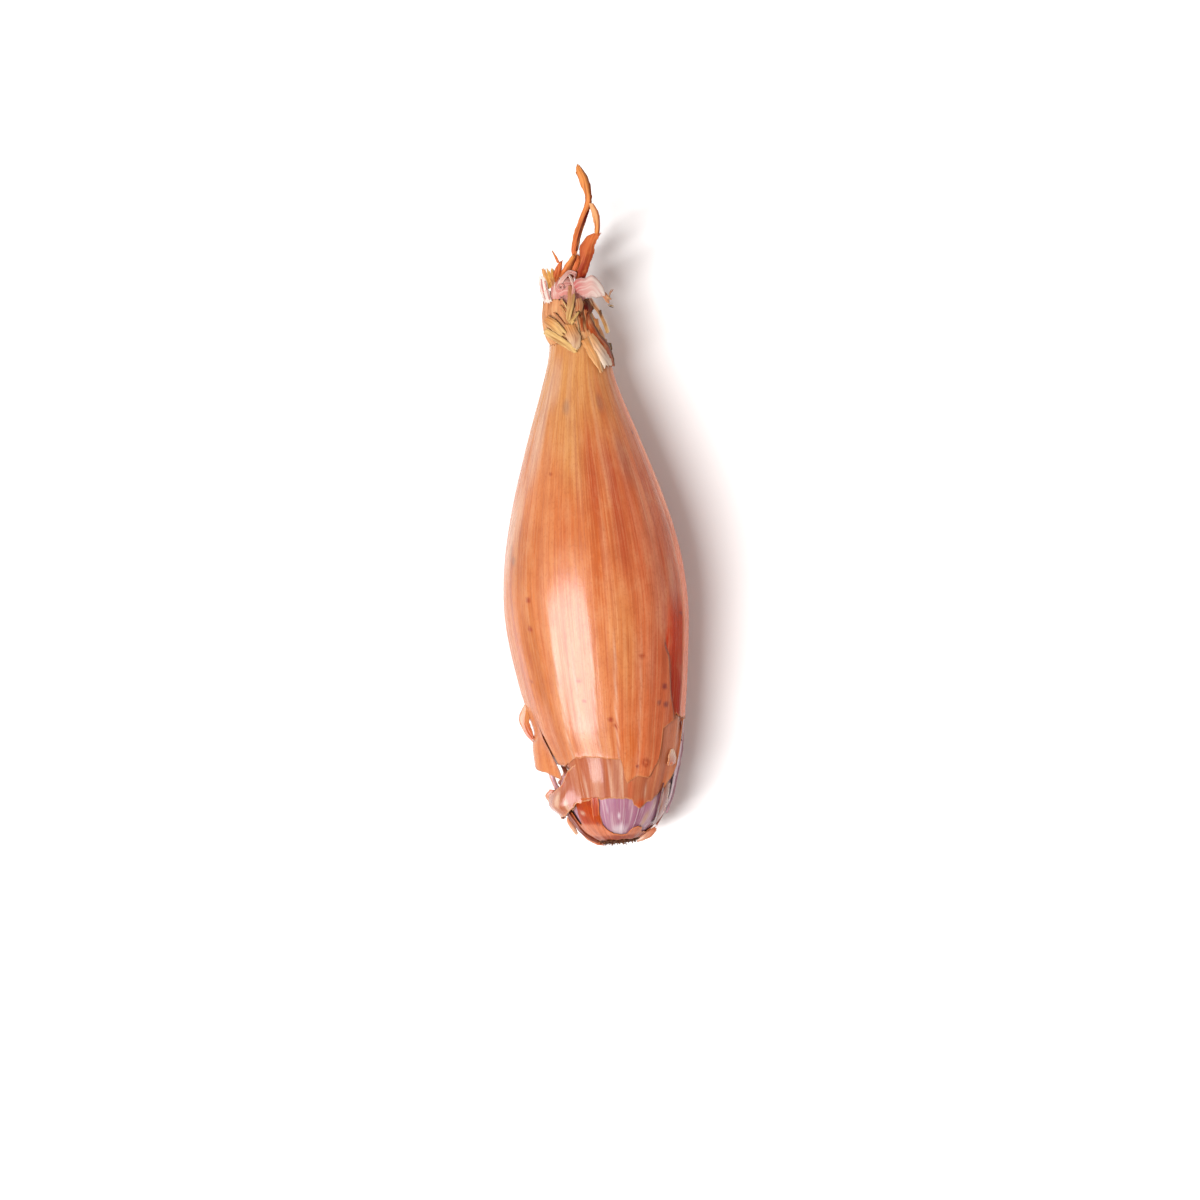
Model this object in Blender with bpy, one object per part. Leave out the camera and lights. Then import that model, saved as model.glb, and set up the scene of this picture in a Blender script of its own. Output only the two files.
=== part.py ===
"""A banana shallot lying on its side, as it comes from the store cupboard.

The long axis runs along Y with the dried leaves at +Y and the roots at -Y. Z is up, and the
origin is the middle of the small flat spot under the belly that the bulb rests on. Lengths
below are in millimetres and angles in degrees; MM turns them into metres.

Every skin follows the same body surface. A place on it is given by y, by an angle round the
long axis (0 on top, 90 at +X, 180 underneath) and by a lift off that surface.
"""
import math
import random

import bmesh
import bpy
from mathutils import Vector

MM = 0.001

# The body: belly, resting spot and the thickness of a dried skin.
BELLY_RADIUS = 20.0
REST_DEPTH = 0.5
REST_ANGLE = 12.5
AXIS_HEIGHT = BELLY_RADIUS - REST_DEPTH
SKIN = 0.6
GAP = 0.4
LAYER = SKIN + GAP
OVAL = 0.012
RIBS = 0.003
RIB_COUNT = 6

# Stations along the body: y, sideways shift of the middle, radius of the outermost skin.
BODY = (
    (-50.6, 0.9, 3.6),
    (-49.6, 1.0, 5.4),
    (-48.2, 1.0, 7.2),
    (-46.0, 1.2, 9.2),
    (-42.4, 1.5, 11.3),
    (-38.0, 1.6, 12.7),
    (-32.4, 1.6, 14.3),
    (-24.6, 0.8, 16.5),
    (-12.0, 0.2, 18.8),
    (0.0, 0.0, BELLY_RADIUS),
    (12.0, 0.0, 18.9),
    (23.2, 0.0, 16.3),
    (36.0, 0.0, 12.3),
    (48.0, 0.1, 8.2),
    (55.0, 0.6, 6.6),
    (60.0, 0.6, 6.2),
)

# Where the outer skin ends at the neck, and its torn lower edge: angle, y.
NECK_EDGE = 57.2
NECK_RAGGED = 0.5
OUTER_TEAR = (
    (-128, -31.5), (-118, -34.0), (-106, -35.7), (-95, -33.2), (-88, -32.0), (-84.5, -26.2),
    (-81, -27.5), (-78, -33.6), (-70, -33.4), (-58, -33.0), (-46, -32.3), (-35, -31.4),
    (-24, -31.3), (-12, -31.7), (1, -32.0), (4.6, -32.4), (6.4, -35.2), (8.3, -37.4),
    (12.6, -37.0), (15.5, -36.2), (22, -36.1), (30.5, -36.6), (34, -35.2), (37.5, -34.1),
    (39.9, -32.1), (41.8, -26.4), (51, -24.9), (55.3, -23.5), (68, -24.5), (83, -24.6),
    (98, -26.0), (112, -24.5), (124, -30.0), (138, -33.5), (150, -32.0), (165, -34.5),
    (180, -35.5), (195, -33.8), (210, -33.0), (221, -34.4), (232, -31.5),
)

# The under skin: hidden upper end, torn lower edge, and how far its left flap stands off.
UNDER_TOP = -14.0
UNDER_TEAR = (
    (-135, -41.0), (-126, -43.0), (-112, -46.5), (-98, -48.0), (-84, -47.6), (-72, -46.3),
    (-62, -44.5), (-56, -42.2), (-51, -41.2), (-40, -41.0), (-25.6, -40.9), (-6, -40.9),
    (5, -41.0), (14.4, -41.3), (18.7, -42.5), (26.6, -43.5), (35, -42.1), (46, -41.4),
    (52, -40.7), (57, -39.2), (62, -37.6), (67, -36.8), (72, -35.0), (76, -31.5), (81, -29.5),
    (88, -26.5), (100, -27.5), (112, -26.6), (122, -33.0), (130, -38.0), (145, -41.5),
    (165, -40.5), (180, -42.0), (195, -41.0), (210, -41.6), (225, -41.0),
)
FLAP_REACH = (
    (-30.0, 0.0), (-34.5, 0.8), (-36.5, 1.8), (-38.6, 4.9), (-40.7, 4.9), (-43.4, 3.9),
    (-46.0, 3.2), (-48.5, 3.2),
)

# What is left of a skin round the root plate: torn upper edge, and where it ends below.
BASE_TEAR = (
    (-135, -41.8), (-126, -42.2), (-112, -42.4), (-98, -42.6), (-84, -42.4), (-76, -43.8),
    (-70, -46.6), (-62, -45.8), (-56, -43.4), (-51, -42.0), (-38, -41.8), (-26.4, -41.6),
    (-24.4, -46.2), (-20, -47.3), (-10, -48.4), (-1, -48.8), (14.3, -48.8), (17.6, -48.3),
    (20.5, -47.8), (23.8, -47.3), (32, -47.2), (40.3, -47.5), (44, -48.4), (54.6, -48.7),
    (63, -48.8), (75, -48.2), (90, -47.7), (110, -46.5), (125, -43.7), (140, -42.8),
    (165, -42.2), (180, -43.0), (195, -42.2), (210, -42.6), (225, -41.8),
)
BASE_END = -49.6

# The fleshy bulb: its slack in the skins, where it thins under the under skin, its tip, and
# how far bare flesh rises.
BULB_SLACK = 0.05
BULB_STEP = (-8.0, -13.0)
BULB_TIP = 50.5
BARE_RISE = 1.1

# The root plate and its trimmed roots.
PLATE_MIDDLE = 0.9
PLATE_PROFILE = (
    (0.0, -49.15), (2.6, -49.1), (3.9, -48.95), (4.8, -49.25), (4.6, -49.8), (3.3, -50.3),
    (1.6, -50.5), (0.0, -50.6),
)
PLATE_SIDES = 24
ROOT_RINGS = ((1.3, 5, 0.5), (2.6, 10, 0.6), (3.8, 15, 0.8))
ROOT_START = -49.5
ROOT_RADIUS = 0.4
ROOT_SIDES = 4
ROOT_SEED = 7

# The dried neck: nested tubes given as y, radius, round a middle that shifts sideways.
NECK_SHIFT = ((50.0, 0.3), (53.5, 0.5), (57.5, 0.6), (60.5, 0.3), (64.0, 0.0), (70.0, 0.0))
SHEATH_RADII = ((50.8, 4.9), (54.0, 4.9), (57.2, 5.0), (59.0, 6.0), (62.0, 6.5), (66.0, 6.0))
SHEATH_TEAR = (
    (-170, 65.8), (-150, 64.6), (-130, 66.4), (-112, 65.2), (-95, 66.6), (-78, 65.9), (-60, 66.5),
    (-42, 67.4), (-25, 66.4), (-8, 66.0), (10, 64.4), (25, 64.9), (40, 63.2), (55, 64.2),
    (72, 62.6), (90, 64.4), (108, 63.5), (125, 65.4), (145, 64.2), (165, 65.9),
)
PINK_RADII = ((51.6, 3.7), (56.0, 3.8), (60.0, 4.1), (64.0, 4.6), (68.0, 4.6))
PINK_TEAR = (
    (-165, 67.0), (-135, 68.2), (-105, 67.2), (-75, 68.6), (-45, 68.9), (-15, 69.2), (12, 69.6),
    (40, 69.0), (70, 67.0), (100, 66.4), (130, 67.6), (160, 66.2),
)
PLUG_RADII = ((51.9, 0.0), (52.0, 2.6), (58.0, 2.9), (64.0, 3.1), (67.6, 2.8), (69.4, 1.8), (69.9, 0.0))
TUBE_SIDES = 16
NECK_FOLD = 0.05

# Torn strips: x, y, z, half width, lean of the face from straight up towards +X.
CURL_UPPER = (
    (-17.05, -18.6, 19.6, 0.35, 0), (-17.5, -20.6, 19.4, 0.7, -8), (-18.0, -22.6, 19.2, 1.1, -14),
    (-17.9, -24.6, 18.8, 0.9, -16), (-17.0, -26.9, 18.4, 0.4, -10),
)
SHEATH_STRIPS = {
    "collar_upper": ((-6.0, 63.9, 21.6, 0.9, -70), (-4.9, 62.4, 24.0, 1.4, -50), (-3.4, 60.6, 25.2, 1.3, -33),
                     (-1.8, 59.2, 25.6, 0.6, -16)),
    "collar_lower": ((-5.5, 61.0, 21.7, 0.7, -68), (-4.6, 58.6, 24.6, 1.1, -43), (-2.4, 56.8, 26.3, 1.1, -24),
                     (0.4, 55.2, 26.9, 0.6, 0)),
    "tongue": ((1.2, 60.4, 25.4, 1.0, 12), (2.4, 58.0, 26.2, 1.4, 20), (3.9, 55.4, 26.1, 1.5, 31),
               (5.6, 52.8, 25.7, 1.5, 39), (6.8, 50.6, 25.5, 1.1, 45)),
    "hanging": ((3.2, 64.3, 24.4, 0.9, 30), (4.9, 63.9, 24.6, 0.7, 36), (6.4, 62.2, 23.8, 0.5, 50),
                (7.3, 59.8, 22.6, 0.5, 60), (7.7, 58.4, 21.6, 0.4, 60)),
    "middle": ((-1.6, 60.2, 25.8, 0.5, -14), (-1.5, 63.0, 26.3, 1.1, -12), (-0.9, 66.3, 26.5, 1.2, -8),
               (-1.6, 69.4, 26.3, 0.7, -15)),
    "tuft": ((-4.6, 64.6, 22.6, 0.9, -50), (-4.7, 67.6, 22.9, 1.3, -42), (-4.6, 70.6, 23.0, 1.4, -30),
             (-5.0, 73.5, 22.8, 0.8, -25)),
}
PINK_STRIPS = {
    "pink_strip": ((-4.0, 66.2, 20.4, 0.8, -76), (-5.3, 68.2, 20.6, 0.9, -60), (-6.4, 70.2, 20.6, 0.9, -50),
                   (-6.5, 72.2, 20.7, 0.4, -50)),
    "curl": ((-1.6, 67.2, 23.6, 0.8, -10), (-2.3, 69.8, 24.6, 0.9, -20), (-1.5, 72.0, 25.0, 0.9, -10),
             (0.4, 73.0, 24.6, 0.7, 10)),
    "petal": ((0.6, 68.4, 23.6, 0.9, 0), (2.4, 68.7, 24.4, 1.8, 0), (4.2, 69.0, 24.4, 2.2, 6),
              (6.0, 68.4, 23.4, 1.9, 14), (7.3, 67.2, 22.2, 0.8, 22)),
}
LEAF_STRIPS = {
    "stub": ((-1.4, 67.4, 20.6, 1.1, -20), (-2.7, 70.6, 21.2, 1.2, -24), (-2.6, 73.2, 21.6, 0.9, -20),
             (-2.4, 74.6, 21.8, 0.4, -10), (-3.5, 76.9, 22.2, 0.3, 0)),
    "long_wisp": ((-0.4, 67.6, 20.8, 0.9, -10), (-1.9, 71.2, 21.8, 0.9, -16), (-1.3, 73.6, 22.6, 0.8, -20),
                  (0.7, 75.6, 23.2, 0.7, -20), (1.4, 78.0, 23.4, 0.8, -16), (2.4, 81.0, 23.4, 0.7, -16),
                  (4.0, 84.5, 23.6, 0.7, -16), (5.0, 87.4, 23.8, 0.8, -8), (5.2, 89.2, 24.0, 1.0, 0),
                  (4.8, 91.4, 24.2, 1.1, 6), (4.1, 93.5, 24.4, 0.9, 8), (3.4, 95.0, 24.6, 0.3, 8)),
    "short_wisp": ((5.0, 87.8, 23.8, 0.6, 0), (5.9, 85.8, 23.3, 0.7, 14), (6.6, 83.4, 22.9, 0.7, 18),
                   (6.5, 81.2, 22.7, 0.6, 14), (6.2, 79.2, 22.6, 0.6, 8)),
    "broad": ((1.0, 67.8, 20.6, 1.2, 4), (1.9, 71.0, 21.2, 1.3, 4), (2.6, 73.4, 21.7, 1.6, 0),
              (3.3, 75.6, 22.1, 1.7, -4), (4.3, 77.6, 22.4, 1.6, -4), (5.4, 79.2, 22.6, 1.2, 0),
              (6.3, 80.4, 22.7, 0.5, 4)),
}
STRIP_CUP = 0.16
STRIP_STEPS = 2

COLOURS = {
    "bulb": (0.42, 0.20, 0.30), "outer_skin": (0.68, 0.28, 0.13), "under_skin": (0.60, 0.24, 0.13),
    "base_skin": (0.58, 0.16, 0.05), "root_plate": (0.24, 0.15, 0.08), "neck_sheath": (0.62, 0.33, 0.13),
    "neck_pink_scale": (0.70, 0.42, 0.38), "dried_leaves": (0.45, 0.14, 0.05),
}
ROUGHNESS = {"bulb": 0.35, "outer_skin": 0.32, "under_skin": 0.34}
DULL = 0.6


def clear_scene():
    for thing in list(bpy.data.objects):
        bpy.data.objects.remove(thing)


def smooth(t):
    t = min(1.0, max(0.0, t))
    return t * t * (3.0 - 2.0 * t)


def read_curve(stations, at):
    """Values at a place between stations, on a smooth curve through them."""
    rising = stations if stations[0][0] < stations[-1][0] else stations[::-1]
    at = min(max(at, rising[0][0]), rising[-1][0])
    last = len(rising) - 1
    i = 0
    while i < last - 1 and at > rising[i + 1][0]:
        i += 1
    here, there = rising[i], rising[i + 1]
    before, after = rising[max(i - 1, 0)], rising[min(i + 2, last)]
    span = there[0] - here[0]
    t = (at - here[0]) / span
    values = []
    for k in range(1, len(here)):
        start = (there[k] - before[k]) / (there[0] - before[0]) * span
        end = (after[k] - here[k]) / (after[0] - here[0]) * span
        cube, square = t ** 3, t ** 2
        values.append((2 * cube - 3 * square + 1) * here[k] + (cube - 2 * square + t) * start
                      + (3 * square - 2 * cube) * there[k] + (cube - square) * end)
    return values


def read_line(stations, at):
    """The value at a place between stations joined by straight lines."""
    rising = stations if stations[0][0] < stations[-1][0] else stations[::-1]
    if at <= rising[0][0]:
        return rising[0][1]
    for (a, value_a), (b, value_b) in zip(rising, rising[1:]):
        if at <= b:
            return value_a + (value_b - value_a) * (at - a) / (b - a)
    return rising[-1][1]


def body_point(y, angle, lift=0.0):
    """A place on the body surface, or lifted off it along its outward direction."""
    shift, radius = read_curve(BODY, y)
    step = 0.2
    slope = (read_curve(BODY, y + step)[1] - read_curve(BODY, y - step)[1]) / (2 * step)
    turn = math.radians(angle)
    radius *= 1 + OVAL * math.sin(2 * turn) + RIBS * math.sin(RIB_COUNT * turn)
    length = math.hypot(1.0, slope)
    reach = radius + lift / length
    z = AXIS_HEIGHT + reach * math.cos(turn)
    return Vector((shift + reach * math.sin(turn), y - lift * slope / length, max(z, -lift, 0.0)))


def new_material(name):
    material = bpy.data.materials.new(name)
    material.use_nodes = True
    shader = material.node_tree.nodes["Principled BSDF"]
    shader.inputs["Base Color"].default_value = (*COLOURS[name], 1.0)
    shader.inputs["Roughness"].default_value = ROUGHNESS.get(name, DULL)
    shader.inputs["Metallic"].default_value = 0.0
    return material


def new_object(name, bm):
    """Turns a bmesh measured in millimetres into a smooth shaded object."""
    bmesh.ops.scale(bm, vec=(MM, MM, MM), verts=bm.verts)
    mesh = bpy.data.meshes.new(name)
    bm.to_mesh(mesh)
    bm.free()
    mesh.shade_smooth()
    thing = bpy.data.objects.new(name, mesh)
    bpy.context.scene.collection.objects.link(thing)
    return thing


def split_quad(bm, a, b, c, d):
    bm.faces.new((a, b, c))
    bm.faces.new((a, c, d))


def ring_grid(bm, columns):
    """Joins columns of points, each running from +Y to -Y, into a closed ring of triangles."""
    grid = [[bm.verts.new(point) for point in column] for column in columns]
    for j, column in enumerate(grid):
        beside = grid[(j + 1) % len(grid)]
        for i in range(len(column) - 1):
            split_quad(bm, column[i], column[i + 1], beside[i + 1], beside[i])
    return grid


def close_end(bm, ring, middle, root_end):
    tip = bm.verts.new(middle)
    for a, b in zip(ring, ring[1:] + ring[:1]):
        bm.faces.new((b, a, tip) if root_end else (a, b, tip))


def thicken(thing):
    """Gives an open sheet its thickness, inward from the face that points out."""
    solidify = thing.modifiers.new("Thickness", "SOLIDIFY")
    solidify.thickness = SKIN * MM
    solidify.offset = -1.0


def settle(thing):
    """Applies an object's modifiers."""
    graph = bpy.context.evaluated_depsgraph_get()
    mesh = bpy.data.meshes.new_from_object(thing.evaluated_get(graph))
    thing.modifiers.clear()
    thing.data = mesh


def join(thing, pieces, solver="EXACT"):
    """Fuses pieces into an object with one Boolean union and removes them."""
    group = bpy.data.collections.new(thing.name + "_pieces")
    for piece in pieces:
        group.objects.link(piece)
    union = thing.modifiers.new("Join", "BOOLEAN")
    union.operation = "UNION"
    union.operand_type = "COLLECTION"
    union.collection = group
    union.solver = solver
    settle(thing)
    for piece in pieces:
        bpy.data.objects.remove(piece)
    bpy.data.collections.remove(group)


def outer_lift(y, angle):
    """The flake at the left side, where the outer skin stands off the body."""
    rise = smooth((-84.0 - angle) / 16.0) * smooth((angle + 130.0) / 20.0)
    return 4.2 * rise * smooth((-23.0 - y) / 9.0)


def under_lift(y, angle):
    """The under skin lies one layer down and flares out in a flap at the lower left."""
    front = -88.0 + 28.0 * smooth((-35.0 - y) / 4.0)
    rise = smooth((front - angle) / 26.0) * smooth((angle + 136.0) / 24.0)
    return -LAYER + rise * read_curve(FLAP_REACH, y)[0]


def bare_flesh(y, angle):
    """How far a place is inside the patches of flesh that no skin covers, from 0 to 1."""
    window = smooth((angle + 22.0) / 14.0) * smooth((54.0 - angle) / 14.0)
    window *= smooth((-44.2 - y) / 1.6) * smooth((y + 47.0) / 1.6)
    side = smooth((angle - 84.0) / 10.0) * smooth((118.0 - angle) / 10.0)
    side *= smooth((-28.5 - y) / 4.0) * smooth((y + 46.6) / 3.0)
    return max(window, side)


def bulb_lift(y, angle):
    start, end = BULB_STEP
    step = smooth((start - y) / (start - end))
    return -BULB_SLACK - LAYER - LAYER * step + BARE_RISE * bare_flesh(y, angle)


def round_angles(step, extra=()):
    """Angles round the body with none closer together than half a step, extra ones first."""
    chosen = sorted(extra)
    count = round(360 / step)
    for k in range(count):
        angle = -135.0 + k * step
        if all(abs((angle - other + 180) % 360 - 180) > 0.5 * step for other in chosen):
            chosen.append(angle)
    return sorted(chosen)


def sheet_columns(angles, fixed_rows, tear, tear_rows, lift):
    """Columns of points: fixed rows first, then rows spread down to the torn edge."""
    columns = []
    for angle in angles:
        bottom = read_line(tear, angle)
        start = fixed_rows[-1]
        rows = list(fixed_rows) + [start + (bottom - start) * k / tear_rows for k in range(1, tear_rows + 1)]
        columns.append([body_point(y, angle, lift(y, angle)) for y in rows])
    return columns


def wrapped(tear):
    """A torn edge with its last station repeated a turn earlier, so that angles wrap round."""
    return tuple((angle - 360, y) for angle, y in tear[-3:]) + tear + tuple((angle + 360, y) for angle, y in tear[:3])


def strip(name, stations):
    """A narrow blade of skin along a smooth path, cupped a little across its width."""
    count = (len(stations) - 1) * STRIP_STEPS
    numbered = [(k, *station) for k, station in enumerate(stations)]
    steps = [read_curve(numbered, k / STRIP_STEPS) for k in range(count + 1)]
    bm = bmesh.new()
    rings = []
    for k, (x, y, z, half, lean) in enumerate(steps):
        ahead, behind = steps[min(k + 1, count)], steps[max(k - 1, 0)]
        along = (Vector(ahead[:3]) - Vector(behind[:3])).normalized()
        turn = math.radians(lean)
        face = Vector((math.sin(turn), 0.0, math.cos(turn)))
        face = (face - along * face.dot(along)).normalized()
        side = along.cross(face)
        middle = Vector((x, y, z))
        across = [middle - side * half, middle + face * half * STRIP_CUP, middle + side * half]
        rings.append([bm.verts.new(p + face * SKIN / 2) for p in across]
                     + [bm.verts.new(p - face * SKIN / 2) for p in reversed(across)])
    for near, far in zip(rings, rings[1:]):
        split_quad(bm, near[0], near[1], far[1], far[0])
        split_quad(bm, near[1], near[2], far[2], far[1])
        split_quad(bm, near[2], near[3], far[3], far[2])
        split_quad(bm, far[4], far[3], near[3], near[4])
        split_quad(bm, far[5], far[4], near[4], near[5])
        split_quad(bm, near[5], near[0], far[0], far[5])
    bm.faces.new(rings[0][::-1])
    bm.faces.new(rings[-1])
    bmesh.ops.recalc_face_normals(bm, faces=bm.faces)
    return new_object(name, bm)


def make_outer_skin():
    rest = [180 + side * REST_ANGLE for side in (-1, 1)]
    angles = round_angles(10, [angle for angle, _ in OUTER_TEAR] + rest)
    rows = (NECK_EDGE, 52, 46, 40, 33, 26, 19, 13, 8, 4, 0, -4, -8, -13, -18.5)
    columns = sheet_columns(angles, rows, wrapped(OUTER_TEAR), 5, outer_lift)
    for column in columns[::2]:
        column[0].y -= NECK_RAGGED
    bm = bmesh.new()
    ring_grid(bm, columns)
    skin = new_object("outer_skin", bm)
    thicken(skin)
    settle(skin)
    join(skin, [strip("upper_flake", CURL_UPPER)])
    return skin


def make_under_skin():
    angles = round_angles(10, [angle for angle, _ in UNDER_TEAR])
    columns = sheet_columns(angles, (UNDER_TOP, -19.5), wrapped(UNDER_TEAR), 7, under_lift)
    bm = bmesh.new()
    ring_grid(bm, columns)
    skin = new_object("under_skin", bm)
    thicken(skin)
    return skin


def make_base_skin():
    angles = round_angles(10, [angle for angle, _ in BASE_TEAR])
    columns = []
    rows = 4
    for angle in angles:
        top = read_line(wrapped(BASE_TEAR), angle)
        columns.append([body_point(top + (BASE_END - top) * k / rows, angle, -LAYER) for k in range(rows + 1)])
    bm = bmesh.new()
    ring_grid(bm, columns)
    skin = new_object("base_skin", bm)
    thicken(skin)
    return skin


def make_bulb():
    rows = (BULB_TIP, 49.5, 46, 40, 33, 26, 19, 13, 8, 4, 0, -4, -8, -10.5, -13, -18, -23, -28, -31, -34,
            -37, -40, -42.5, -44.5, -46.5, -48.3, -49.4, -50.2)
    rest = [180 + side * REST_ANGLE for side in (-1, 1)]
    columns = [[body_point(y, angle, bulb_lift(y, angle)) for y in rows] for angle in round_angles(10, rest)]
    neck = sum((column[0] for column in columns), Vector()) / len(columns)
    for column in columns:
        column[0] = neck.lerp(column[0], 0.6)
    bm = bmesh.new()
    grid = ring_grid(bm, columns)
    close_end(bm, [column[0] for column in grid], neck + Vector((0, 0.6, 0)), False)
    root = sum((column[-1] for column in columns), Vector()) / len(columns)
    close_end(bm, [column[-1] for column in grid], root, True)
    return new_object("bulb", bm)


def axis_point(middle_x, y):
    return Vector((middle_x, y, AXIS_HEIGHT))


def turned_solid(bm, profile, sides, middle):
    """A closed solid turned about the long axis from radius, y pairs, both ends on the axis."""
    columns = []
    for k in range(sides):
        turn = 2 * math.pi * k / sides
        out = Vector((math.sin(turn), 0.0, math.cos(turn)))
        columns.append([axis_point(middle(y), y) + out * r for r, y in profile[1:-1]])
    grid = ring_grid(bm, columns)
    top, bottom = profile[0][1], profile[-1][1]
    close_end(bm, [column[0] for column in grid], axis_point(middle(top), top), False)
    close_end(bm, [column[-1] for column in grid], axis_point(middle(bottom), bottom), True)


def make_root(ring_radius, turn, length, draw):
    """One trimmed root: a short bent spike that leaves the plate outward."""
    bm = bmesh.new()
    out = Vector((math.sin(turn), 0.0, math.cos(turn)))
    start = axis_point(PLATE_MIDDLE, ROOT_START) + out * ring_radius
    lean = 0.6 * ring_radius / PLATE_PROFILE[3][0] + draw.uniform(-0.1, 0.3)
    heading = (Vector((0, -1, 0)) + out * lean).normalized()
    drift = Vector((draw.uniform(-0.5, 0.5), 0.0, draw.uniform(-0.5, 0.5)))
    depth = ROOT_START - PLATE_PROFILE[-1][1]
    places = (start, start + heading * (depth + 0.4 * length), start + heading * (depth + length) + drift)
    side = heading.cross(Vector((0.3, 0.1, 1.0))).normalized()
    other = heading.cross(side)
    rings = []
    for place, scale in zip(places, (1.0, 0.8, 0.45)):
        ring = []
        for k in range(ROOT_SIDES):
            around = 2 * math.pi * k / ROOT_SIDES
            ring.append(bm.verts.new(place + (side * math.cos(around) + other * math.sin(around)) * ROOT_RADIUS * scale))
        rings.append(ring)
    for near, far in zip(rings, rings[1:]):
        for k in range(ROOT_SIDES):
            split_quad(bm, near[k], near[(k + 1) % ROOT_SIDES], far[(k + 1) % ROOT_SIDES], far[k])
    bm.faces.new(rings[0][::-1])
    bm.faces.new(rings[-1])
    bmesh.ops.recalc_face_normals(bm, faces=bm.faces)
    return new_object("root", bm)


def make_root_plate():
    bm = bmesh.new()
    turned_solid(bm, PLATE_PROFILE, PLATE_SIDES, lambda y: PLATE_MIDDLE)
    plate = new_object("root_plate", bm)
    draw = random.Random(ROOT_SEED)
    roots = []
    for radius, count, length in ROOT_RINGS:
        for k in range(count):
            turn = 2 * math.pi * (k + draw.uniform(-0.25, 0.25)) / count
            roots.append(make_root(radius, turn, length * draw.uniform(0.4, 1.5), draw))
    join(plate, roots)
    return plate


def neck_middle(y):
    return read_line(NECK_SHIFT, y)


def tube_columns(radii, tear, rows):
    """Columns of a dried sheath round the long axis, from its torn top edge down."""
    columns = []
    bottom = radii[0][0]
    for k, (angle, top) in enumerate(tear):
        turn = math.radians(angle)
        out = Vector((math.sin(turn), 0.0, math.cos(turn)))
        fold = NECK_FOLD * (-1) ** k
        column = []
        for i in range(rows + 1):
            y = top + (bottom - top) * i / rows
            reach = read_curve(radii, y)[0] * (1 + fold * smooth((y - NECK_EDGE) / 4.0))
            column.append(axis_point(neck_middle(y), y) + out * reach)
        columns.append(column)
    return columns


def make_neck(name, radii, tear, rows, strips):
    bm = bmesh.new()
    ring_grid(bm, tube_columns(radii, tear, rows))
    sheath = new_object(name, bm)
    thicken(sheath)
    settle(sheath)
    join(sheath, [strip(key, stations) for key, stations in strips.items()])
    return sheath


def make_dried_leaves():
    bm = bmesh.new()
    turned_solid(bm, tuple((r, y) for y, r in reversed(PLUG_RADII)), TUBE_SIDES, neck_middle)
    leaves = new_object("dried_leaves", bm)
    join(leaves, [strip(key, stations) for key, stations in LEAF_STRIPS.items()])
    return leaves


def main():
    clear_scene()
    parts = [
        make_bulb(),
        make_outer_skin(),
        make_under_skin(),
        make_base_skin(),
        make_root_plate(),
        make_neck("neck_sheath", SHEATH_RADII, SHEATH_TEAR, 6, SHEATH_STRIPS),
        make_neck("neck_pink_scale", PINK_RADII, PINK_TEAR, 5, PINK_STRIPS),
        make_dried_leaves(),
    ]
    for part in parts:
        part.data.materials.clear()
        part.data.materials.append(new_material(part.name))


main()
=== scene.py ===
"""The look of a banana shallot that lies on its side on a white table, seen from above.

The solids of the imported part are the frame. Each piece below stands for one of them and adds
what they leave out: thin torn skins with veins, the bare flesh, roots, and the dried neck.

Lengths are in millimetres and angles in degrees; MM turns them into metres. The long axis runs
along Y with the dried leaves at +Y, Z is up, and the origin is the resting spot. A place on the
body is given by y, by an angle round the axis (0 on top, 90 at +X, 180 underneath) and by a lift
off the body surface. Every point of a piece also carries four layers that its material reads:
place (millimetres across and along the veins), tint (its broad colour), edge (millimetres to the
nearest torn edge) and gloss (how strongly it shines).

Where two numbers give a range, something starts at the first and is full at the second. Where there
are four, it is full as far as the third and ends at the fourth.
"""

import math

import bpy
import numpy as np
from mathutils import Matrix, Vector


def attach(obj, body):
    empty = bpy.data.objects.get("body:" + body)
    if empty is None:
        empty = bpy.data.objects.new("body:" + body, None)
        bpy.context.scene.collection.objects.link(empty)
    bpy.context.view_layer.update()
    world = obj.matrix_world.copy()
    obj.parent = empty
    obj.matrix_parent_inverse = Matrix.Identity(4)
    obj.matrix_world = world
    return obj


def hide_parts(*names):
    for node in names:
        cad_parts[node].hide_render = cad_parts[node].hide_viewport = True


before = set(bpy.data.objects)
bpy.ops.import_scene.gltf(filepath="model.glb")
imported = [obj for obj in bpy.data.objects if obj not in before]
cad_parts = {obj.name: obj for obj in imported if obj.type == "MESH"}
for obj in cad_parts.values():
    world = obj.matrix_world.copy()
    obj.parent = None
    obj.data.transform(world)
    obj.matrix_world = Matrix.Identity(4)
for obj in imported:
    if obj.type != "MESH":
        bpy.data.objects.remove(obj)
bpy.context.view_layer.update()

MM = 0.001

# The body, as in the solids: belly, resting spot, axis, the slight oval and ribs of its outline, and
# its stations as y, sideways shift and radius.
BELLY_RADIUS = 20.0
REST_DEPTH = 0.5
AXIS_HEIGHT = BELLY_RADIUS - REST_DEPTH
OVAL = 0.012
RIBS = 0.003
RIB_COUNT = 6
BODY = (
    (-50.6, 0.9, 3.6), (-49.6, 1.0, 5.4), (-48.2, 1.0, 7.2), (-46.0, 1.2, 9.2), (-42.4, 1.5, 11.3),
    (-38.0, 1.6, 12.7), (-32.4, 1.6, 14.3), (-24.6, 0.8, 16.5), (-12.0, 0.2, 18.8),
    (0.0, 0.0, BELLY_RADIUS), (12.0, 0.0, 18.9), (23.2, 0.0, 16.3), (36.0, 0.0, 12.3),
    (48.0, 0.1, 8.2), (55.0, 0.6, 6.6), (60.0, 0.6, 6.2),
)

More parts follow.
